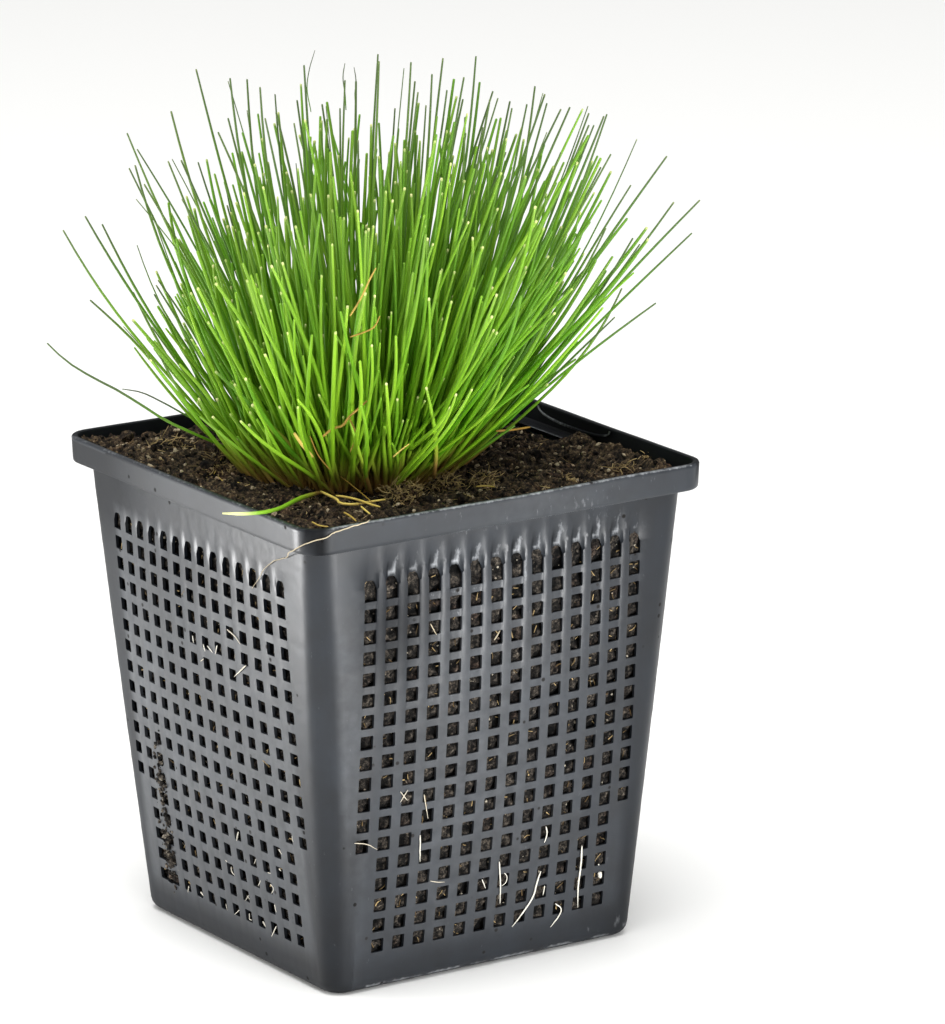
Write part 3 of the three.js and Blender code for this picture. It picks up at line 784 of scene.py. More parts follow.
def soilTop():
    n = soil["steps"]
    line = np.linspace(-soil["openHalf"], soil["openHalf"], n)
    x, y = np.meshgrid(line, line)
    x, y = insidePot(x.ravel(), y.ravel(), soil["openHalf"])
    points = np.stack([x, y, np.zeros(n * n)], -1)
    grain, fine = lumpy(points, soil["grainSize"], 2), lumpy(points + 30, soil["fineSize"], 2)
    points[:, 2] = soilHeight(points) + soil["grain"] * grain + soil["fineGrain"] * fine
    # It is drawn in where it lies under the rim's ledge.
    half = np.where(points[:, 2] < shoulderZ + 1.6, soil["lowHalf"], soil["openHalf"])
    points[:, 0], points[:, 1] = insidePot(x, y, half)
    # The tone follows the lumps: their tops are painted lighter and the gaps between them darker, as painted
    # shade.
    base, grainTone, fineTone = soil["topTone"]
    return points, gridFaces(n, n), {"tone": base + grainTone * grain + fineTone * fine}


def behindWall(across, z, wall, depth, short=0.0):  # this deep behind a wall, from shares of its width
    half = bodyHalf(z) - pot["wall"] - soil["sideGap"]
    x, y = turned(across * (half - short), half, wall)
    x, y = bowed(x, y, z)
    nx, ny = turned(0.0, 1.0, wall)
    return np.stack([x - nx * depth, y - ny * depth, z], -1)


def soilSides():
    (across, up), short, (base, grainTone) = soil["sideSteps"], soil["sideShort"], soil["sideTone"]
    shapes = []
    for wall in range(4):
        u, z = np.meshgrid(np.linspace(-1, 1, across), np.linspace(*soil["sideSpan"], up))
        u, z = u.ravel(), z.ravel()
        # Where the grain is low the soil sits deeper behind the mesh and is painted darker, as painted shade.
        grain = lumpy(behindWall(u, z, wall, 0, short), soil["sideGrainSize"], 3)
        points = behindWall(u, z, wall, soil["sideRough"] * (0.45 - 0.9 * grain).clip(0, 1.6), short)
        shapes.append((points, gridFaces(up, across), {"tone": base + grainTone * grain}))
    return joinShapes(shapes)


# Rough lumps: a ball of 12 corners, or of 42 for clods, each stretched and turned its own way
def ball(finer):
    golden, edge = (1 + math.sqrt(5)) / 2, 1.06
    corners = [(side, other * golden, 0) for side in (-1, 1) for other in (-1, 1)]
    points = np.array([np.roll(corner, shift) for shift in range(3) for corner in corners], float)
    points /= np.linalg.norm(points[0])
    near = np.linalg.norm(points[:, None] - points[None], axis=2) < edge
    faces = [[i, j, k] for i in range(12) for j in range(i + 1, 12) for k in range(j + 1, 12)
             if near[i, j] and near[j, k] and near[i, k]]
    if finer:
        points, middles, split = list(points), {}, []
        for face in faces:
            mid = []
            for a, b in ((0, 1), (1, 2), (2, 0)):
                pair = tuple(sorted((face[a], face[b])))
                if pair not in middles:
                    middles[pair] = len(points)
                    points.append(unit(points[pair[0]] + points[pair[1]]))
                mid.append(middles[pair])
            split += [[face[0], mid[0], mid[2]], [mid[0], face[1], mid[1]], [mid[2], mid[1], face[2]], mid]
        points, faces = np.array(points), split
    out = [np.dot(np.cross(points[b] - points[a], points[c] - points[a]), points[a]) > 0
           for a, b, c in faces]
    return points, np.array([face if good else face[::-1] for face, good in zip(faces, out)])


def lumpsAt(places, sizes, tones, finer=False):
    points, faces = ball(finer)
    count, each = len(places), len(points)
    corners = np.repeat(points[None], count, 0) * dice.uniform(0.6, 1.2, (count, each, 1))
    corners = corners * dice.uniform(0.6, 1.2, (count, 1, 3))
    turn, _ = np.linalg.qr(dice.normal(size=(count, 3, 3)))
    corners = corners @ turn * sizes[:, None, None] + places[:, None]
    allFaces = (faces[None] + each * np.arange(count)[:, None, None]).reshape(-1, 3).tolist()
    shade = np.repeat(tones, each) + dice.uniform(-0.08, 0.08, count * each)
    return corners.reshape(-1, 3), allFaces, {"tone": shade}


def soilPlaces(count, inset=1.2):
    half = soil["openHalf"] - inset
    x, y = insidePot(dice.uniform(-half, half, count), dice.uniform(-half, half, count), half)
    places = np.stack([x, y, np.zeros(count)], -1)
    places[:, 2] = soilHeight(places)
    return places


def topCrumbs():
    small = soilPlaces(soil["crumbs"])
    smallSizes = 0.16 + 0.5 * dice.uniform(0, 1, len(small)) ** 1.6
    small[:, 2] += smallSizes * 0.3
    clods = soilPlaces(soil["clods"], 2.4)
    clodSizes = 0.6 + 1.1 * dice.uniform(0, 1, len(clods)) ** 2
    clods[:, 2] += clodSizes * 0.1
    return joinShapes([lumpsAt(small, smallSizes, -0.08 + 1.0 * dice.uniform(0, 1, len(small)) ** 3.4),
                       lumpsAt(clods, clodSizes, dice.uniform(-0.05, 0.3, len(clods)), True)])


def sidePlaces(count, wall, shallow, deep):  # places just behind a wall
    depth = dice.uniform(shallow, deep, count)
    return behindWall(dice.uniform(-0.85, 0.85, count), dice.uniform(5, 84, count), wall, depth)


def sideCrumbs():
    shapes = []
    for wall in range(4):
        count = soil["sideCrumbs"]
        places = sidePlaces(count, wall, 0.2, 1.1)
        sizes = dice.uniform(0.1, 0.36, count)
        shapes.append(lumpsAt(places, sizes, 0.08 + 0.85 * dice.uniform(0, 1, count) ** 1.7))
    return joinShapes(shapes)


def strands(starts, lengths, rise, radius, tones, bend=0.25, steps=5, plane=(0, 0, 1)):
    count = len(starts)
    plane = np.array(plane, float)

    def nearFlat(vectors):  # keeps them nearly in the plane, which has this normal
        return vectors - plane * np.sum(vectors * plane, -1, keepdims=True) * (1 - rise)

    heading = unit(nearFlat(dice.normal(size=(count, 3))))
    sidestep = nearFlat(unit(np.cross(heading, dice.normal(size=(count, 3)))))
    sidestep = sidestep * dice.uniform(0, bend, (count, 1))
    ends = starts + heading * lengths[:, None]
    paths = bezier(starts, (starts + ends) / 2 + sidestep * lengths[:, None], ends, steps)
    taper = np.linspace(1, 0.55, steps)
    return tubes(paths, radius[:, None] * taper, 4, {"tone": np.repeat(tones[:, None], steps, 1)})


def peatFibres():
    count = soil["fibres"]
    places = soilPlaces(count, 5)
    places[:, 2] += dice.uniform(0.2, 0.9, count) - 0.3
    shapes = [strands(places, dice.uniform(0.7, 2.8, count), 0.35, dice.uniform(0.05, 0.11, count),
                      dice.uniform(0, 1, count) ** 1.8)]
    for wall in range(4):
        count = soil["sideFibres"]
        normal = (*turned(0.0, 1.0, wall), 0.0)
        places = sidePlaces(count, wall, 0.0, 0.6)
        shapes.append(strands(places, dice.uniform(0.6, 2.2, count), 0.08, dice.uniform(0.05, 0.1, count),
                              dice.uniform(0, 0.9, count), bend=0.3, steps=4, plane=normal))
        shapes.append(holeBits(wall, normal))
    return joinShapes(shapes)


def holeBits(wall, normal):  # short ends of roots and straw that show in many of the holes
    places = []
    for row in range(1, pot["rows"]):
        for column in range(pot["columns"]):
            if isOpen(column, row) and dice.uniform() < soil["bitShare"]:
                across = (column - middleColumn) * pot["pitchAcross"]
                up = pot["topRow"] - row * pot["pitchUp"]
                shift = dice.uniform(-0.8, 0.8, 2)
                places.append(onWall(across + shift[0], up + shift[1], wall, dice.uniform(-1.2, -0.5)))
    count = len(places)
    return strands(np.array(places), dice.uniform(0.8, 2.0, count), 0.12, dice.uniform(0.06, 0.15, count),
                   0.85 * dice.uniform(0.2, 1, count) ** 1.7, bend=0.35, steps=4, plane=normal)


# Matted root tangles that lie on the soil in front of the clump and at its left, with loose bits among them
tangles = [  # centre, radius, fibres
    ((-10.5, -23.5, 92.2), 4.3, 260), ((0.5, -20.5, 92.0), 3.2, 160), ((9, -21.5, 91.3), 3.0, 80),
    ((-24.5, 18.2, 91.8), 3.6, 80), ((-30.5, 9.0, 91.6), 4.2, 90), ((-28, 31, 91.8), 4.5, 70),
    ((37, -27, 89.8), 4.0, 70), ((-32.2, -21.5, 91.4), 1.5, 30), ((-33.5, -28, 91.2), 2.0, 30),
]


def tangleFibres():
    shapes = []
    for centre, size, count in tangles:
        spot = unit(dice.normal(size=(count, 3))) * size * dice.uniform(0.5, 1, (count, 1)) * [1, 1, 0.7]
        shapes.append(strands(spot + centre, dice.uniform(1.0, 3.0, count), 0.8,
                              dice.uniform(0.06, 0.11, count), dice.uniform(0.3, 1, count),
                              bend=0.6, steps=4))
    return joinShapes(shapes)


paleBits = [  # pixel, height, size
    ((398, 504), 93.6, 0.5), ((301, 515), 92.4, 1.3), ((297, 518), 92.2, 0.9), ((518, 446), 92.0, 0.3),
    ((176, 452), 93.0, 0.8), ((128, 447), 93.0, 0.5), ((609, 470), 91.0, 0.5), ((560, 462), 91.4, 0.3),
    ((487, 465), 92.4, 0.3), ((630, 468), 90.6, 0.7),
]


def tangleHearts():  # the crumbs that the tangles hold
    shapes = []
    for centre, size, count in tangles:
        lumps = count * 3
        spot = unit(dice.normal(size=(lumps, 3))) * size * dice.uniform(0, 0.85, (lumps, 1)) * [1, 1, 0.6]
        shapes.append(lumpsAt(spot + centre, dice.uniform(0.12, 0.42, lumps),
                              dice.uniform(0.05, 0.5, lumps)))
    bits = np.array([onLevel(*pixel, height) for pixel, height, _ in paleBits])
    shapes.append(lumpsAt(bits, np.array([size for _, _, size in paleBits]), np.full(len(bits), 1.2)))
    return joinShapes(shapes)


peat = dampPeat("dampPeat", 0.8, [(0.1, "#0c0a09"), (0.34, "#2d251e"), (0.6, "#62513d"), (0.96, "#c8b79a")])
rootedPeat = dampPeat("rootedPeat", 0.55,
                      [(0.12, "#0b0b0b"), (0.36, "#2b2825"), (0.6, "#5d554c"), (0.96, "#cdc4b0")])
fibre = dryFibre("peatFibre", "#4a3720", "#dcbf88")
makePiece("peatSoil", soilTop(), peat, ["soil"])
makePiece("peatSides", soilSides(), rootedPeat, ["soil"])
makePiece("peatCrumbs", joinShapes([topCrumbs(), tangleHearts()]), peat, (), 28)
makePiece("peatSideCrumbs", sideCrumbs(), rootedPeat, (), 28)
makePiece("peatFibres", joinShapes([peatFibres(), tangleFibres()]), fibre, ())


# Grass: stems fan out of small tufts and lean further out towards the clump's edge

grass = {
    "tufts": 37, "tuftSpread": 3.3, "tuftSize": 1.5, "stemsPerTuft": 28, "crownLevel": 90.2, "rooted": 1.5,
    "crownPlace": (-5.4, -1.9), "crownRadius": 22, "crownReach": (17.0, 14.0), "innerRadius": 15.5,
    "lean": 36, "leanScatter": 8, "turnScatter": 0.26, "strayShare": 0.05, "strayLean": 11,
    "length": 84, "shorterByDegree": 0.52, "shortShare": 0.62, "shorts": (0.3, 0.82), "longs": (0.72, 0.97),
    "bow": (0.85, 1.25), "wander": 1.9, "thickness": (0.8, 1.14),
    "stout": (0.31, 0.38, 0.41, 0.34, 0.24), "slender": (0.3, 0.37, 0.39, 0.31, 0.22),  # radii, root first
    "radiusPlaces": (0, 0.15, 0.4, 0.8, 1), "steps": 14, "sides": 6, "tipSteps": 3,
    "budShare": 0.55, "budSizes": (0.35, 1), "budLength": 0.7, "fullerRight": 0.08,
    "shortTurn": 1.6, "middleRadius": 5, "middleTurn": 0.6, "rightOfFront": 1.62,
    "insideOutline": 0.9, "insideScatter": (0.85, 1.06), "outlineSteps": 61, "outlineWindow": 0.11,
    "outlineLeast": 190, "outlineDusk": 0.85, "tone": 0.22, "toneFacing": 0.64, "toneRight": 0.4,
    "toneLeft": 0.45, "toneScatter": 0.28, "highTips": 135, "highDusk": 0.35, "leanDusk": 1.5,
    "leanDuskFrom": 0.3, "leanDuskMost": 0.6,
}
goldenAngle = math.pi * (3 - math.sqrt(5))
frontRight = np.array([towardsEye[i] + grass["rightOfFront"] * eyeRight[i] for i in (0, 1)])
frontRight = frontRight / math.hypot(1, grass["rightOfFront"])

# Tips that give the clump its outline: pixels of the photograph, mm towards the eye, thickness against the
# rest.
outlineTips = [
    (63, 230, 4, 0.8), (85, 216, -8, 0.8), (102, 224, -14, 0.8), (137, 245, 6, 0.45),
    (127, 133, 6, 0.8), (137, 149, -10, 0.7), (135, 165, 0, 0.8), (129, 168, -6, 0.7),
    (144, 184, 8, 0.8), (136, 199, 10, 0.45), (153, 215, -12, 0.45), (171, 111, -4, 0.9),
    (168, 161, 8, 0.8), (172, 159, -14, 0.45), (181, 160, 2, 0.8), (182, 199, 12, 0.8),
    (198, 162, -8, 0.7), (196, 69, -12, 0.75), (218, 132, 10, 0.8), (228, 118, -4, 0.8),
    (228, 81, -16, 0.45), (230, 78, 4, 0.8), (247, 79, -8, 0.8), (260, 87, 8, 0.8), (275, 94, -14, 0.7),
    (276, 112, 2, 0.8), (265, 118, 14, 0.8), (247, 110, -2, 0.45), (225, 183, -10, 0.45),
    (227, 205, 10, 0.8), (297, 100, -6, 0.8), (294, 123, 12, 0.8), (304, 65, 2, 0.8),
    (322, 104, -12, 0.8), (326, 106, 8, 0.45), (296, 163, 14, 0.45), (340, 108, -4, 0.7),
    (345, 80, 4, 0.7), (356, 81, -10, 0.9), (378, 54, -2, 0.8), (379, 61, 8, 0.8), (395, 108, -14, 0.7),
    (358, 140, 14, 0.8), (371, 141, 0, 0.7), (404, 68, -8, 0.45), (411, 62, 6, 0.8),
    (415, 81, -14, 0.8), (418, 92, 12, 0.8), (426, 105, -4, 0.7), (432, 74, 2, 0.8), (443, 58, -6, 0.8),
    (447, 90, 10, 0.8), (452, 93, -12, 0.7), (464, 77, 4, 0.8), (463, 99, -8, 0.8), (465, 117, 14, 0.8),
    (476, 56, -2, 0.8), (490, 99, 8, 0.8), (493, 91, -10, 0.8), (498, 98, 2, 0.7), (510, 101, -14, 0.8),
    (512, 108, 12, 0.8), (483, 127, 6, 0.7), (506, 152, -6, 0.7), (527, 104, 4, 0.8),
    (535, 86, -8, 0.8), (543, 93, 10, 0.45), (545, 94, -14, 0.8), (547, 103, 0, 0.8),
    (547, 132, 14, 0.45), (561, 109, -6, 0.8), (570, 107, 6, 0.8), (561, 152, 12, 0.8),
    (588, 106, -12, 0.45), (589, 113, 2, 0.8), (589, 125, 12, 0.8), (594, 125, -4, 0.8),
    (607, 114, 6, 0.8), (604, 116, -10, 0.8), (611, 154, 10, 0.8), (601, 167, -6, 0.8),
    (637, 139, -14, 0.45), (667, 156, -4, 0.8), (674, 202, 6, 0.8), (631, 185, -12, 0.7),
    (700, 200, 0, 0.8), (692, 233, 8, 0.8), (656, 303, 12, 0.75), (622, 288, -8, 0.75),
    (633, 238, 4, 0.8), (640, 244, -12, 0.7), (606, 228, 12, 0.8), (587, 267, -14, 0.7),
    (615, 317, 8, 0.7), (90, 300, -4, 0.8), (123, 326, 8, 0.45), (133, 292, -12, 0.8),
    (156, 285, 10, 0.8), (154, 294, -6, 0.7), (158, 280, 4, 0.7), (155, 345, 14, 0.8),
    (152, 327, 2, 0.7),
]
fullness = [  # degrees round the foot, and how much longer stems are there
    (0, 1.08), (30, 1.13), (40, 1.13), (50, 0.97), (60, 1.11), (70, 0.96), (80, 1.06), (90, 0.92),
    (99, 1.03), (110, 1.07), (120, 0.94), (130, 0.9), (142, 0.77), (155, 0.86), (165, 0.87),
    (180, 0.92),
]
clumpFoot = (383, 478)  # the pixel under the clump's middle, that the outline is measured from


def fromFoot(points):  # how many pixels right of the clump's foot and above it points are seen
    seen = points - eyePlace
    far = -(seen @ eyeBack)
    pixelX = eyeMiddle[0] + eyeFocal * (seen @ eyeRight) / far
    pixelY = eyeMiddle[1] - eyeFocal * (seen @ eyeUp) / far
    return pixelX - clumpFoot[0], clumpFoot[1] - pixelY


def outlineReach(angles):  # how far the outline is from the clump's foot, in pixels, in each direction
    tips = np.array(outlineTips)
    right, up = tips[:, 0] - clumpFoot[0], clumpFoot[1] - tips[:, 1]
    tipAngles, reach = np.arctan2(up, right), np.hypot(right, up)
    around = np.linspace(0, np.pi, grass["outlineSteps"])
    outer = [reach[np.abs(tipAngles - angle) < grass["outlineWindow"]].max(initial=0) for angle in around]
    outer = np.maximum(outer, grass["outlineLeast"])
    return np.interp(angles, around, np.convolve(np.pad(outer, 2, "edge"), np.ones(5) / 5, "valid"))


def leanAt(radius):
    return math.radians(grass["lean"]) * (radius / grass["crownRadius"])


def crownFoot(x, y):  # the crown stops short in front and is cut back most on its front right side
    for side, reach in zip((towardsEye, frontRight), grass["crownReach"]):
        far = np.maximum(x * side[0] + y * side[1], 0)
        pulled = reach * np.tanh(far / reach) - far
        x, y = x + pulled * side[0], y + pulled * side[1]
    place = grass["crownPlace"]
    return np.stack([x + place[0], y + place[1], np.full(len(x), grass["crownLevel"] - grass["rooted"])], -1)


def growStems():
    tuft = np.repeat(np.arange(grass["tufts"]), grass["stemsPerTuft"])
    count = len(tuft)
    away, bearing = grass["tuftSpread"] * np.sqrt(tuft + 0.5), tuft * goldenAngle
    x = away * np.cos(bearing) + dice.normal(0, grass["tuftSize"], count)
    y = away * np.sin(bearing) + dice.normal(0, grass["tuftSize"], count)
    radius = np.minimum(np.hypot(x, y), grass["crownRadius"] + 1)
    angle = np.arctan2(y, x)
    roots = crownFoot(radius * np.cos(angle), radius * np.sin(angle))
    degrees = np.degrees(leanAt(radius)) + dice.normal(0, grass["leanScatter"], count)
    stray = dice.uniform(0, 1, count) < grass["strayShare"]
    degrees = np.abs(degrees + np.where(stray, grass["strayLean"], 0))
    short = dice.uniform(0, 1, count) < grass["shortShare"]
    turn = angle + dice.normal(0, grass["turnScatter"], count) * np.where(short, grass["shortTurn"], 1)
    turn += np.where(radius < grass["middleRadius"], dice.normal(0, grass["middleTurn"], count), 0)
    share = np.where(short, dice.uniform(*grass["shorts"], count), dice.uniform(*grass["longs"], count))
    length = (grass["length"] - grass["shorterByDegree"] * degrees) * share
    length *= 1 + grass["fullerRight"] * np.cos(turn - math.radians(camera["turn"]))
    lean = np.radians(degrees)
    aim = np.stack([np.sin(lean) * np.cos(turn), np.sin(lean) * np.sin(turn), np.cos(lean)], -1)
    tips = roots + aim * length[:, None]
    # Tips are kept within the outline.
    right, up = fromFoot(tips)
    seenAngle = np.arctan2(up, right)
    limit = grass["insideOutline"] * dice.uniform(*grass["insideScatter"], count) * outlineReach(seenAngle)
    limit = limit / np.hypot(right, up)
    tips = roots + (tips - roots) * np.minimum(1, limit)[:, None]
    tips = roots + (tips - roots) * np.interp(np.degrees(seenAngle), *np.array(fullness).T)[:, None]
    thickness = dice.uniform(*grass["thickness"], count)
    # The stem whose own lean fits best is stretched to each tip of the outline.
    dusk = np.zeros(count)
    free = np.ones(count, bool)
    for pixelX, pixelY, nearer, thin in outlineTips:
        tip = onPlane(pixelX, pixelY, nearer)
        reach = np.linalg.norm(tip - roots, axis=1)
        out = np.stack([np.cos(angle), np.sin(angle)], -1) * (reach * np.sin(leanAt(radius)))[:, None]
        ideal = roots + np.column_stack([out, reach * np.cos(leanAt(radius))])
        best = int(np.argmin(np.linalg.norm(ideal - tip, axis=1) + np.where(free, 0, 1e6)))
        tips[best] = tip
        free[best] = False
        dusk[best] = grass["outlineDusk"]
        thickness[best] = thin
    return roots, tips, dusk, thickness, radius


def stemPaths(roots, tips):
    rise = tips - roots
    count = len(roots)
    bow = dice.uniform(*grass["bow"], (count, 1)) * [0.5, 0.5, 0] + [0, 0, 0.5]
    paths = bezier(roots, roots + rise * bow, tips, grass["steps"])
    along = np.linspace(0, 1, grass["steps"])[None, :, None]
    size = grass["wander"] * np.linalg.norm(rise, axis=1)[:, None, None] / grass["length"]
    sway = dice.normal(0, 1, (count, 1, 3)) * np.sin(np.pi * along)
    sway = sway + dice.normal(0, 0.35, (count, 1, 3)) * np.sin(2 * np.pi * along)
    return paths + sway * size * [1, 1, 0.3]


def stemRadii(thickness, slender):
    along = np.linspace(0, 1, grass["steps"])
    stout, fine = (np.interp(along, grass["radiusPlaces"], grass[key]) for key in ("stout", "slender"))
    return (stout + (fine - stout) * slender[:, None]) * thickness[:, None]


def livingTubes(paths, radii, tone, dusk, bud, rise=0):
    count, steps = radii.shape
    aim = unit(paths[:, -1] - paths[:, -2])[:, None]
    # The last stretch is redrawn as a short blunt bud.
    back = grass["budLength"] * np.array([1, 0.5, 0.15, 0])[None, :, None]
    paths = np.concatenate([paths[:, :-1], paths[:, -1:] - aim * back], 1)
    end = radii[:, -1:]
    swell = 1 + 0.05 * bud[:, None]
    radii = np.concatenate([radii[:, :-1], end, end * swell, end * 0.9 * swell, end * 0.5], 1)
    along = np.concatenate([np.linspace(0, 1, steps)[:-1], [0.99, 0.993, 0.997, 1]])
    budRing = np.concatenate([np.zeros(steps - 1), [0.1, 0.8, 1, 1]])
    duller = 0.2 if rise else 0.55  # where along a stem its dull stretch starts
    length = np.linalg.norm(paths[:, -1] - paths[:, 0], axis=1)[:, None]
    values = {
        "along": np.repeat(along[None], count, 0), "height": (length * along + rise) * mm,
        "tone": np.repeat(tone[:, None], steps + grass["tipSteps"], 1),
        "dusk": dusk[:, None] * fade(along, duller, duller + 0.4), "bud": bud[:, None] * budRing,
    }
    return tubes(paths, radii, grass["sides"], values)


stem = livingStem()
roots, tips, dusk, thickness, rootRadius = growStems()
paths = stemPaths(roots, tips)
radii = stemRadii(thickness, dusk)
headings = unit(tips - roots)
facing, rightLean = headings @ towardsEye, headings @ eyeRight
# Tone is painted light: stems that face the eye or lean to the left are painted a lighter lime, those that
# lean to the right a darker green, with a random scatter on top.
tone = grass["tone"] + grass["toneFacing"] * facing
tone = tone - grass["toneRight"] * np.maximum(rightLean, 0) - grass["toneLeft"] * np.minimum(rightLean, 0)
tone = np.clip(tone + dice.normal(0, grass["toneScatter"], len(roots)), 0, 1)
# High stems are greyer towards their tips, and those that lean to either side are painted greyer and darker
# there, as painted shade.
sideDusk = np.clip(grass["leanDusk"] * (np.abs(rightLean) - grass["leanDuskFrom"]), 0, grass["leanDuskMost"])
dullest = np.maximum(np.where(tips[:, 2] > grass["highTips"], grass["highDusk"], 0), sideDusk)
dusk = np.maximum(dusk, dullest * dice.uniform(0, 1, len(roots)))
budded = dice.uniform(0, 1, len(roots)) < grass["budShare"]
bud = np.where(budded, dice.uniform(*grass["budSizes"], len(roots)), 0) * (1 - dusk)
inner = rootRadius < grass["innerRadius"]
for name, chosen, prefix in (("innerStems", inner, "tuft_"), ("outerStems", ~inner, "outer_stem_")):
    nodes = sorted(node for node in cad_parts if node.startswith(prefix))
    shape = livingTubes(paths[chosen], radii[chosen], tone[chosen], dusk[chosen], bud[chosen])
    makePiece(name, shape, stem, nodes)


# Single stems that stand out from the clump: their paths are pixels and mm towards the eye, from tip to root.
# Where the root end is above the soil, rise is how far up the stem it is, in mm, past the brown foot.

singleStems = [  # thickness, tone, dusk, bud, rise, path
    (0.75, 0.3, 0.9, 0, 20, [(47, 343, 6), (65, 360, 6), (90, 376, 6), (117, 390, 7), (143, 406, 8),
                             (165, 420, 9), (195, 434, 10), (232, 450, 8)]),
    (0.45, 0.1, 1, 0, 20, [(122, 389, -6), (140, 392, -6), (162, 402, -5), (182, 413, -4),
                           (215, 432, -2)]),
    (0.3, 0.2, 1, 0, 20, [(315, 50, 2), (309, 71, 2), (307, 86, 2), (311, 112, 2)]),
    (0.35, 0.2, 1, 0, 20, [(345, 63, 4), (343, 76, 4), (345, 94, 4), (346, 110, 4)]),
    (0.35, 0.2, 1, 0, 20, [(354, 67, -10), (356, 81, -10), (355, 94, -10), (356, 110, -10)]),
    (1.5, 1, 0, 1, 0, [(252, 404, 22), (268, 424, 22), (290, 446, 22), (306, 470, 20)]),
    (1.1, 1, 0, 0, 0, [(349, 416, 31), (356, 442, 30), (364, 470, 27), (372, 495, 22)]),
    (1.05, 0.9, 0, 1, 0, [(426, 387, 34), (430, 405, 33), (434, 426, 31), (436, 450, 27),
                          (434, 478, 20)]),
    (1.0, 0.9, 0, 1, 20, [(450.6, 407, 36), (446, 415, 35), (436, 428, 34), (424, 438, 32),
                          (410, 450, 29)]),
]

looseStem = {
    "radius": 0.36, "steps": 30, "sides": 10, "tone": 0.6,
    "path": [(-21.8, -14.1, 92.2), (-24.7, -16.3, 93.2), (-28.1, -19.7, 94.2), (-32.1, -22.9, 95.0),
             (-35.8, -26.0, 95.6), (-39.7, -29.1, 96.0), (-42.8, -31.2, 96.2), (-46.2, -32.1, 96.3),
             (-49.8, -31.6, 96.4), (-53.9, -29.4, 96.6)],
}


def singleStemShape():
    shapes = []
    for thickness, tone, dusk, bud, rise, pixels in singleStems:
        path = smoothPath([onPlane(*point) for point in pixels][::-1], grass["steps"])[None]
        values = [np.array([value], float) for value in (tone, dusk, bud)]
        radii = stemRadii(np.array([thickness]), np.array([dusk]))
        shapes.append(livingTubes(path, radii, *values, rise=rise))
    return joinShapes(shapes)


def looseStemShape():
    steps = looseStem["steps"]
    path = smoothPath(looseStem["path"], steps)[None]
    along = np.linspace(0, 1, steps)
    taper = np.interp(along, [0, 0.1, 0.4, 0.75, 0.93, 1], [0.6, 0.9, 1.25, 1.0, 0.85, 0.4])
    values = {"along": np.interp(along, [0, 0.12, 0.3, 1], [0.0, 0.1, 0.5, 0.8])[None],
              "height": 30 * along[None] * mm, "tone": np.full((1, steps), looseStem["tone"]),
              "dusk": np.zeros((1, steps)), "bud": fade(along, 0.84, 0.92)[None]}
    return tubes(path, looseStem["radius"] * taper[None], looseStem["sides"], values)


makePiece("singleStems", singleStemShape(), stem, ())
makePiece("looseStem", looseStemShape(), stem, ["loose_stem"])


# Dead strands: orange-brown ones caught in the clump and straw on the soil in front of it

deadStrands = [  # radius, tone, and pixels with mm towards the eye
    (0.24, 0.3, [(321, 438, 33), (334, 428, 33), (342, 426, 34), (349, 417, 35), (358, 409, 35),
                 (367, 401, 36)]),
    (0.17, 0.35, [(349, 417, 35), (356, 436, 33), (350, 452, 31)]),
    (0.19, 0.45, [(350, 316, 46), (360, 300, 46), (371, 277, 46), (376, 268, 46)]),
    (0.16, 0.3, [(350, 337, 44), (362, 333, 44), (374, 327, 44), (380, 316, 44)]),
    (0.34, 0.85, [(294, 433, 31), (303, 446, 31), (313, 457, 30)]),
    (0.14, 0.9, [(393, 457, 34), (401, 450, 35), (409, 444, 36)]),
    (0.22, 0.2, [(496, 431, 10), (510, 430, 9), (530, 427, 6)]),
    (0.12, 0.2, [(330, 470, 32), (318, 455, 33), (310, 436, 34)]),
]
soilStrands = [  # radius, tone, height, and pixels
    (0.27, 0.95, 94.3, [(321, 491.5), (329, 495.5), (337, 499.5), (341, 503.5), (352, 504.5), (366, 502.5),
                        (385, 499.5)]),
    (0.24, 0.8, 94.5, [(336, 495.6), (348, 497.5), (360, 500.5), (371, 504.5), (380, 507)]),
    (0.12, 0.25, 95.0, [(335, 472), (354, 487), (372, 502)]),
    (0.2, 1.0, 93.8, [(361, 506.5), (365, 510), (370, 514)]),
    (0.2, 0.45, 93.8, [(344, 512.5), (350, 516), (356, 521)]),
    (0.16, 0.6, 93.4, [(312, 522), (321, 526), (331, 527)]),
    (0.14, 0.7, 92.7, [(218, 477), (225, 482), (237, 486)]),
    (0.1, 0.6, 93.0, [(224, 447), (220, 462), (214, 474)]),
    (0.12, 0.9, 92.8, [(228, 476), (236, 482), (246, 485)]),
    (0.14, 0.7, 92.6, [(476, 486.5), (485, 486), (495, 487)]),
    (0.12, 0.8, 93.5, [(454, 466), (458, 459), (461, 453)]),
]


def strandShape(steps=14, sides=6):
    paths = [(radius, tone, [onPlane(*point) for point in points]) for radius, tone, points in deadStrands]
    paths += [(radius, tone, [onLevel(*point, height) for point in points])
              for radius, tone, height, points in soilStrands]
    taper = np.interp(np.linspace(0, 1, steps), [0, 0.1, 0.85, 1], [0.7, 1, 0.9, 0.6])
    return joinShapes([onePath(smoothPath(points, steps)[None], radius * taper, sides, tone)
                       for radius, tone, points in paths])


straw = dryFibre("deadStraw", "#7a4f0c", "#ecd070")
makePiece("deadStrands", strandShape(), straw, ())


# Roots and pale bits that stand out through the holes: thickness, tone, and points across and up that wall

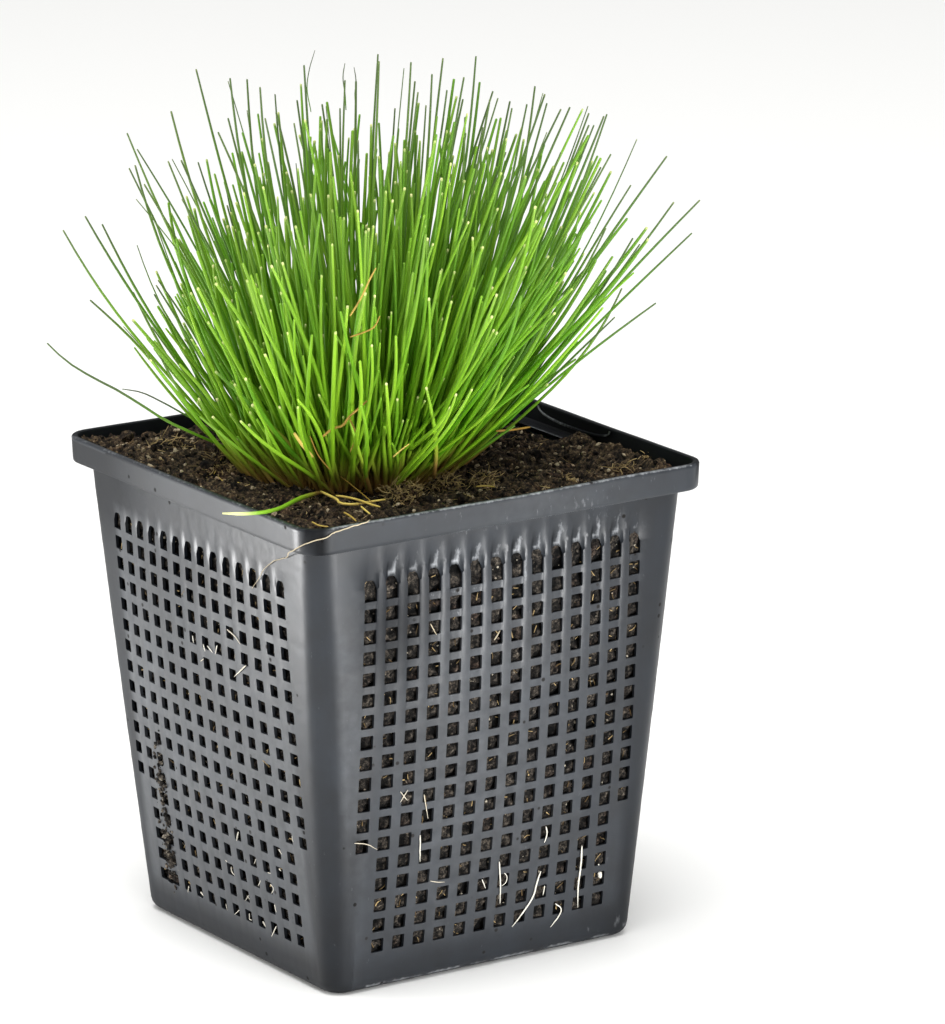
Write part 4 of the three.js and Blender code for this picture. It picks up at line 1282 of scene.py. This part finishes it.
frontRoots = [
    (0.14, 0.9, [(0.8, 21.7), (1.5, 17.1), (1.9, 12.8)]),
    (0.16, 0.9, [(10.8, 17.8), (10.3, 16.4), (9.4, 12.6), (7.7, 10.1), (5.2, 7.2)]),
    (0.18, 0.9, [(20.2, 21.2), (20.3, 17.4), (20.1, 12.4), (20.4, 8.3)]),
    (0.13, 0.9, [(15.0, 10.2), (16.5, 8.6), (15.7, 6.9), (14.3, 5.4)]),
    (0.14, 0.9, [(11.1, 27.0), (11.5, 25.4), (11.0, 23.7)]),
    (0.12, 0.9, [(-17.5, 30.5), (-17.1, 25.0)]),
    (0.09, 0.5, [(-31.4, 31.1), (-29.0, 30.6), (-26.5, 29.1)]),
    (0.11, 0.9, [(12.0, 14.5), (11.8, 12.6)]),
    (0.09, 0.9, [(2.2, 19.1), (2.9, 18.3), (2.6, 16.9), (1.8, 16.5)]),
    (0.1, 0.9, [(-2.8, 18.7), (-1.8, 16.7)]),
    (0.1, 0.5, [(-17.2, 38.7), (-16.0, 33.6)]),
    (0.08, 0.6, [(-22.3, 40.1), (-20.7, 38.1)]),
    (0.08, 0.6, [(-20.7, 40.2), (-22.2, 38.0)]),
    (0.1, 0.3, [(-17.1, 72.6), (-16.4, 71.3), (-15.8, 70.3)]),
    (0.12, 0.35, [(-3.1, 67.3), (-1.8, 68.9)]),
    (0.08, 0.5, [(-14.5, 20.6), (-13.0, 20.1), (-11.3, 19.8)]),
    (0.45, 0.9, [(25.0, 14.7), (25.3, 13.5)]),
    (0.16, 0.9, [(24.6, 16.5), (24.7, 16.3)]),
]
leftRoots = [
    (0.11, 0.9, [(-2.0, 63.8), (-1.7, 62.5)]),
    (0.11, 0.9, [(1.8, 63.0), (2.4, 61.7)]),
    (0.11, 0.9, [(3.4, 63.1), (5.1, 62.1)]),
    (0.11, 0.9, [(6.9, 64.0), (6.1, 62.1)]),
    (0.12, 0.6, [(10.9, 68.1), (13.2, 67.5), (15.2, 66.2)]),
    (0.13, 0.7, [(16.6, 62.3), (12.3, 59.1)]),
    (0.08, 0.6, [(0.5, 59.3), (1.7, 60.1)]),
]
leftEnds = [  # root ends low on the left wall: thickness and the photograph's pixels
    (0.14, [(238, 832), (236.4, 841)]), (0.1, [(188.6, 886), (187.7, 892.5)]),
    (0.14, [(200.7, 892), (203.3, 896)]), (0.08, [(225.3, 860), (227, 862)]),
    (0.09, [(230.9, 866.8), (232.1, 872.6), (234.8, 875.5)]), (0.07, [(255.9, 859), (253.9, 863.8)]),
    (0.08, [(260.7, 880.4), (257.8, 886.2)]), (0.1, [(270.5, 884.3), (273.4, 888.2), (271.4, 893.6)]),
    (0.06, [(249, 895), (245, 900.8)]), (0.06, [(247, 896), (251, 901.8)]),
    (0.07, [(225.7, 903.8), (227, 910.6)]), (0.07, [(239.3, 910), (234.4, 914.5)]),
    (0.09, [(249, 913.5), (249.6, 919.4), (251.6, 920.3)]), (0.14, [(262.7, 921.3), (265.6, 926.8)]),
    (0.12, [(276.3, 926.2), (271.4, 936.9)]), (0.1, [(278.8, 868.7), (280.8, 871)]),
    (0.14, [(274.4, 904.7), (276.3, 912.5)]), (0.08, [(291.9, 833.6), (292.9, 841.4), (295.8, 843)]),
    (0.1, [(278.3, 849.2), (282.7, 856)]), (0.07, [(267.5, 872.6), (271.4, 873.6)]),
]


def leftWallPlace(pixelX, pixelY):  # across and up the left wall where a pixel's ray meets it
    ray = throughPixel(pixelX, pixelY)
    out = 40.0
    for _ in range(4):
        place = eyePlace + ray * ((-out - eyePlace[0]) / ray[0])
        out = -onWall(-place[1], place[2], 3, 0)[0]
    return -place[1], place[2]


def rootShapes(steps=16, sides=6):
    roots = [(0, 0.2, *root) for root in frontRoots] + [(3, 0.2, *root) for root in leftRoots]
    roots += [(3, -0.05, thickness, 0.75, [leftWallPlace(*pixel) for pixel in pixels])
              for thickness, pixels in leftEnds]
    taper = np.interp(np.linspace(0, 1, steps), [0, 0.1, 0.7, 1], [0.6, 1, 0.9, 0.4])
    shapes = []
    for wall, proud, thickness, tone, points in roots:
        path = smoothPath([onWall(across, up, wall, proud) for across, up in points], steps)
        path = path[None] + 0.05 * roughShift(path, 1.2, (0, 30, 60))
        shapes.append(onePath(path, thickness * taper, sides, tone))
    return joinShapes(shapes)


root = dryFibre("paleRoot", "#a08a5c", "#efece0")
makePiece("wallRoots", rootShapes(), root, ())

# Soil smeared over the bars down the far side of the left wall: pixels, and how far it spreads in mm.
smear = {
    "line": [(158, 742), (160, 765), (162, 790), (164, 812), (167, 835), (170, 856), (173, 874)],
    "spread": (1.1, 1.9), "crumbs": 220,
}


def smearedCrumbs():
    count = smear["crumbs"]
    line = np.array([leftWallPlace(*pixel) for pixel in smear["line"]])
    places = []
    for at in dice.uniform(0, len(line) - 1, count):
        across, up = (np.interp(at, range(len(line)), line[:, axis]) + dice.normal(0, smear["spread"][axis])
                      for axis in (0, 1))
        places.append(onWall(across, up, 3, -0.1))
    sizes = 0.16 + 0.7 * dice.uniform(0, 1, count) ** 2
    return lumpsAt(np.array(places), sizes, dice.uniform(-0.05, 0.45, count))


makePiece("smearedCrumbs", smearedCrumbs(), rootedPeat, (), 28)

# Mats of fine roots along the front of the soil, with the crumbs that they hold: pixel, radius, fibres
rootMats = [
    ((405, 496), 2.6, 100), ((448, 485), 2.3, 70), ((489, 487), 2.0, 50), ((570, 474), 1.8, 40),
    ((649, 461), 1.8, 40),
]


def rootMatShapes():
    fibres, crumbs = [], []
    for pixel, size, count in rootMats:
        spots = unit(dice.normal(size=(count, 3))) * size * dice.uniform(0.1, 1, (count, 1))
        spots = spots + onLevel(*pixel, soil["level"])
        spots[:, 2] = soilHeight(spots) + dice.uniform(0.1, 0.9, count)
        fibres.append(strands(spots, dice.uniform(0.6, 1.7, count), 0.7, dice.uniform(0.06, 0.11, count),
                              dice.uniform(0.35, 1, count), bend=0.6, steps=4))
        held = spots[::2] - [0, 0, 0.2]
        crumbs.append(lumpsAt(held, dice.uniform(0.15, 0.45, len(held)), dice.uniform(0.25, 0.7, len(held))))
    return joinShapes(fibres), joinShapes(crumbs)


matFibres, matCrumbs = rootMatShapes()
makePiece("matFibres", matFibres, fibre, ())
makePiece("matCrumbs", matCrumbs, peat, (), 28)

# One long root thread lies over the rim at the near corner and runs down to the left wall's holes.
rootThread = {
    "radius": 0.11, "steps": 60, "sides": 6, "tone": 0.3,
    "path": [(-28.5, -41, 92.3), (-30.6, -43.4, 94.8), (-32.6, -45.2, 95.1), (-35.2, -45.3, 94.9),
             (-37.5, -45.2, 94.5), (-39.4, -45.2, 94.3), (-41.2, -45.0, 93.5), (-43.2, -43.9, 92.9),
             (-44.5, -42.3, 92.0), (-45.1, -40.3, 90.8), (-44.4, -37.2, 89.4), (-42.6, -33.4, 87.3),
             (-42.6, -28.5, 85.4), (-42.6, -25.2, 83.1), (-42.5, -22.9, 80.5), (-42.4, -20.6, 78.5)],
}
threadPath = smoothPath(rootThread["path"], rootThread["steps"])
threadPath += 0.12 * roughShift(threadPath, 1.4, (0, 30, 60))
threadTaper = np.interp(np.linspace(0, 1, rootThread["steps"]), [0, 0.6, 1], [1.1, 0.9, 0.5])
threadShape = onePath(threadPath[None], rootThread["radius"] * threadTaper, rootThread["sides"],
                      rootThread["tone"])
makePiece("rootThread", threadShape, root, ())


# Floor and light: a plain pale table under a wide soft key from the upper left

studio = {
    "floor": "#f8f8f6", "floorSize": 6, "world": "#ffffff", "worldStrength": 0.58,
    "lights": [  # name, place, aim, width, height, watts
        ("key", (-0.25, -0.15, 1.6), (0, 0, 0.1), 1.1, 1.1, 26),
        ("lowLeft", (-0.24, 0.13, 0.03), (-0.04, -0.03, 0.08), 0.08, 0.06, 0.55),
        ("lowFront", (0.0, -0.36, 0.05), (-0.01, -0.04, 0.08), 0.1, 0.08, 1.1),
        ("lowRight", (0.15, -0.52, 0.06), (0, -0.04, 0.07), 0.14, 0.1, 0.2),
    ],
}

table = newMaterial("paleTable", {"Roughness": 0.6, "Base Color": hexColour(studio["floor"])})[0]
half = studio["floorSize"] / 2
floorMesh = bpy.data.meshes.new("floor")
corners = [(-half, -half, 0), (half, -half, 0), (half, half, 0), (-half, half, 0)]
floorMesh.from_pydata(corners, [], [[0, 1, 2, 3]])
floorMesh.materials.append(table)
floor = bpy.data.objects.new("floor", floorMesh)
bpy.context.scene.collection.objects.link(floor)

world = bpy.data.worlds.new("studio")
world.use_nodes = True
sky = world.node_tree.nodes["Background"].inputs
sky["Color"].default_value = hexColour(studio["world"])
sky["Strength"].default_value = studio["worldStrength"]
bpy.context.scene.world = world
for name, place, aim, width, height, watts in studio["lights"]:
    light = bpy.data.lights.new(name, "AREA")
    light.shape = "RECTANGLE"
    light.size = width
    light.size_y = height
    light.energy = watts
    lamp = bpy.data.objects.new(name, light)
    lamp.location = place
    lamp.rotation_euler = (Vector(aim) - Vector(place)).to_track_quat("-Z", "Y").to_euler()
    lamp.visible_camera = False
    bpy.context.scene.collection.objects.link(lamp)
bpy.context.scene.view_settings.view_transform = "Standard"
print("studio lit")
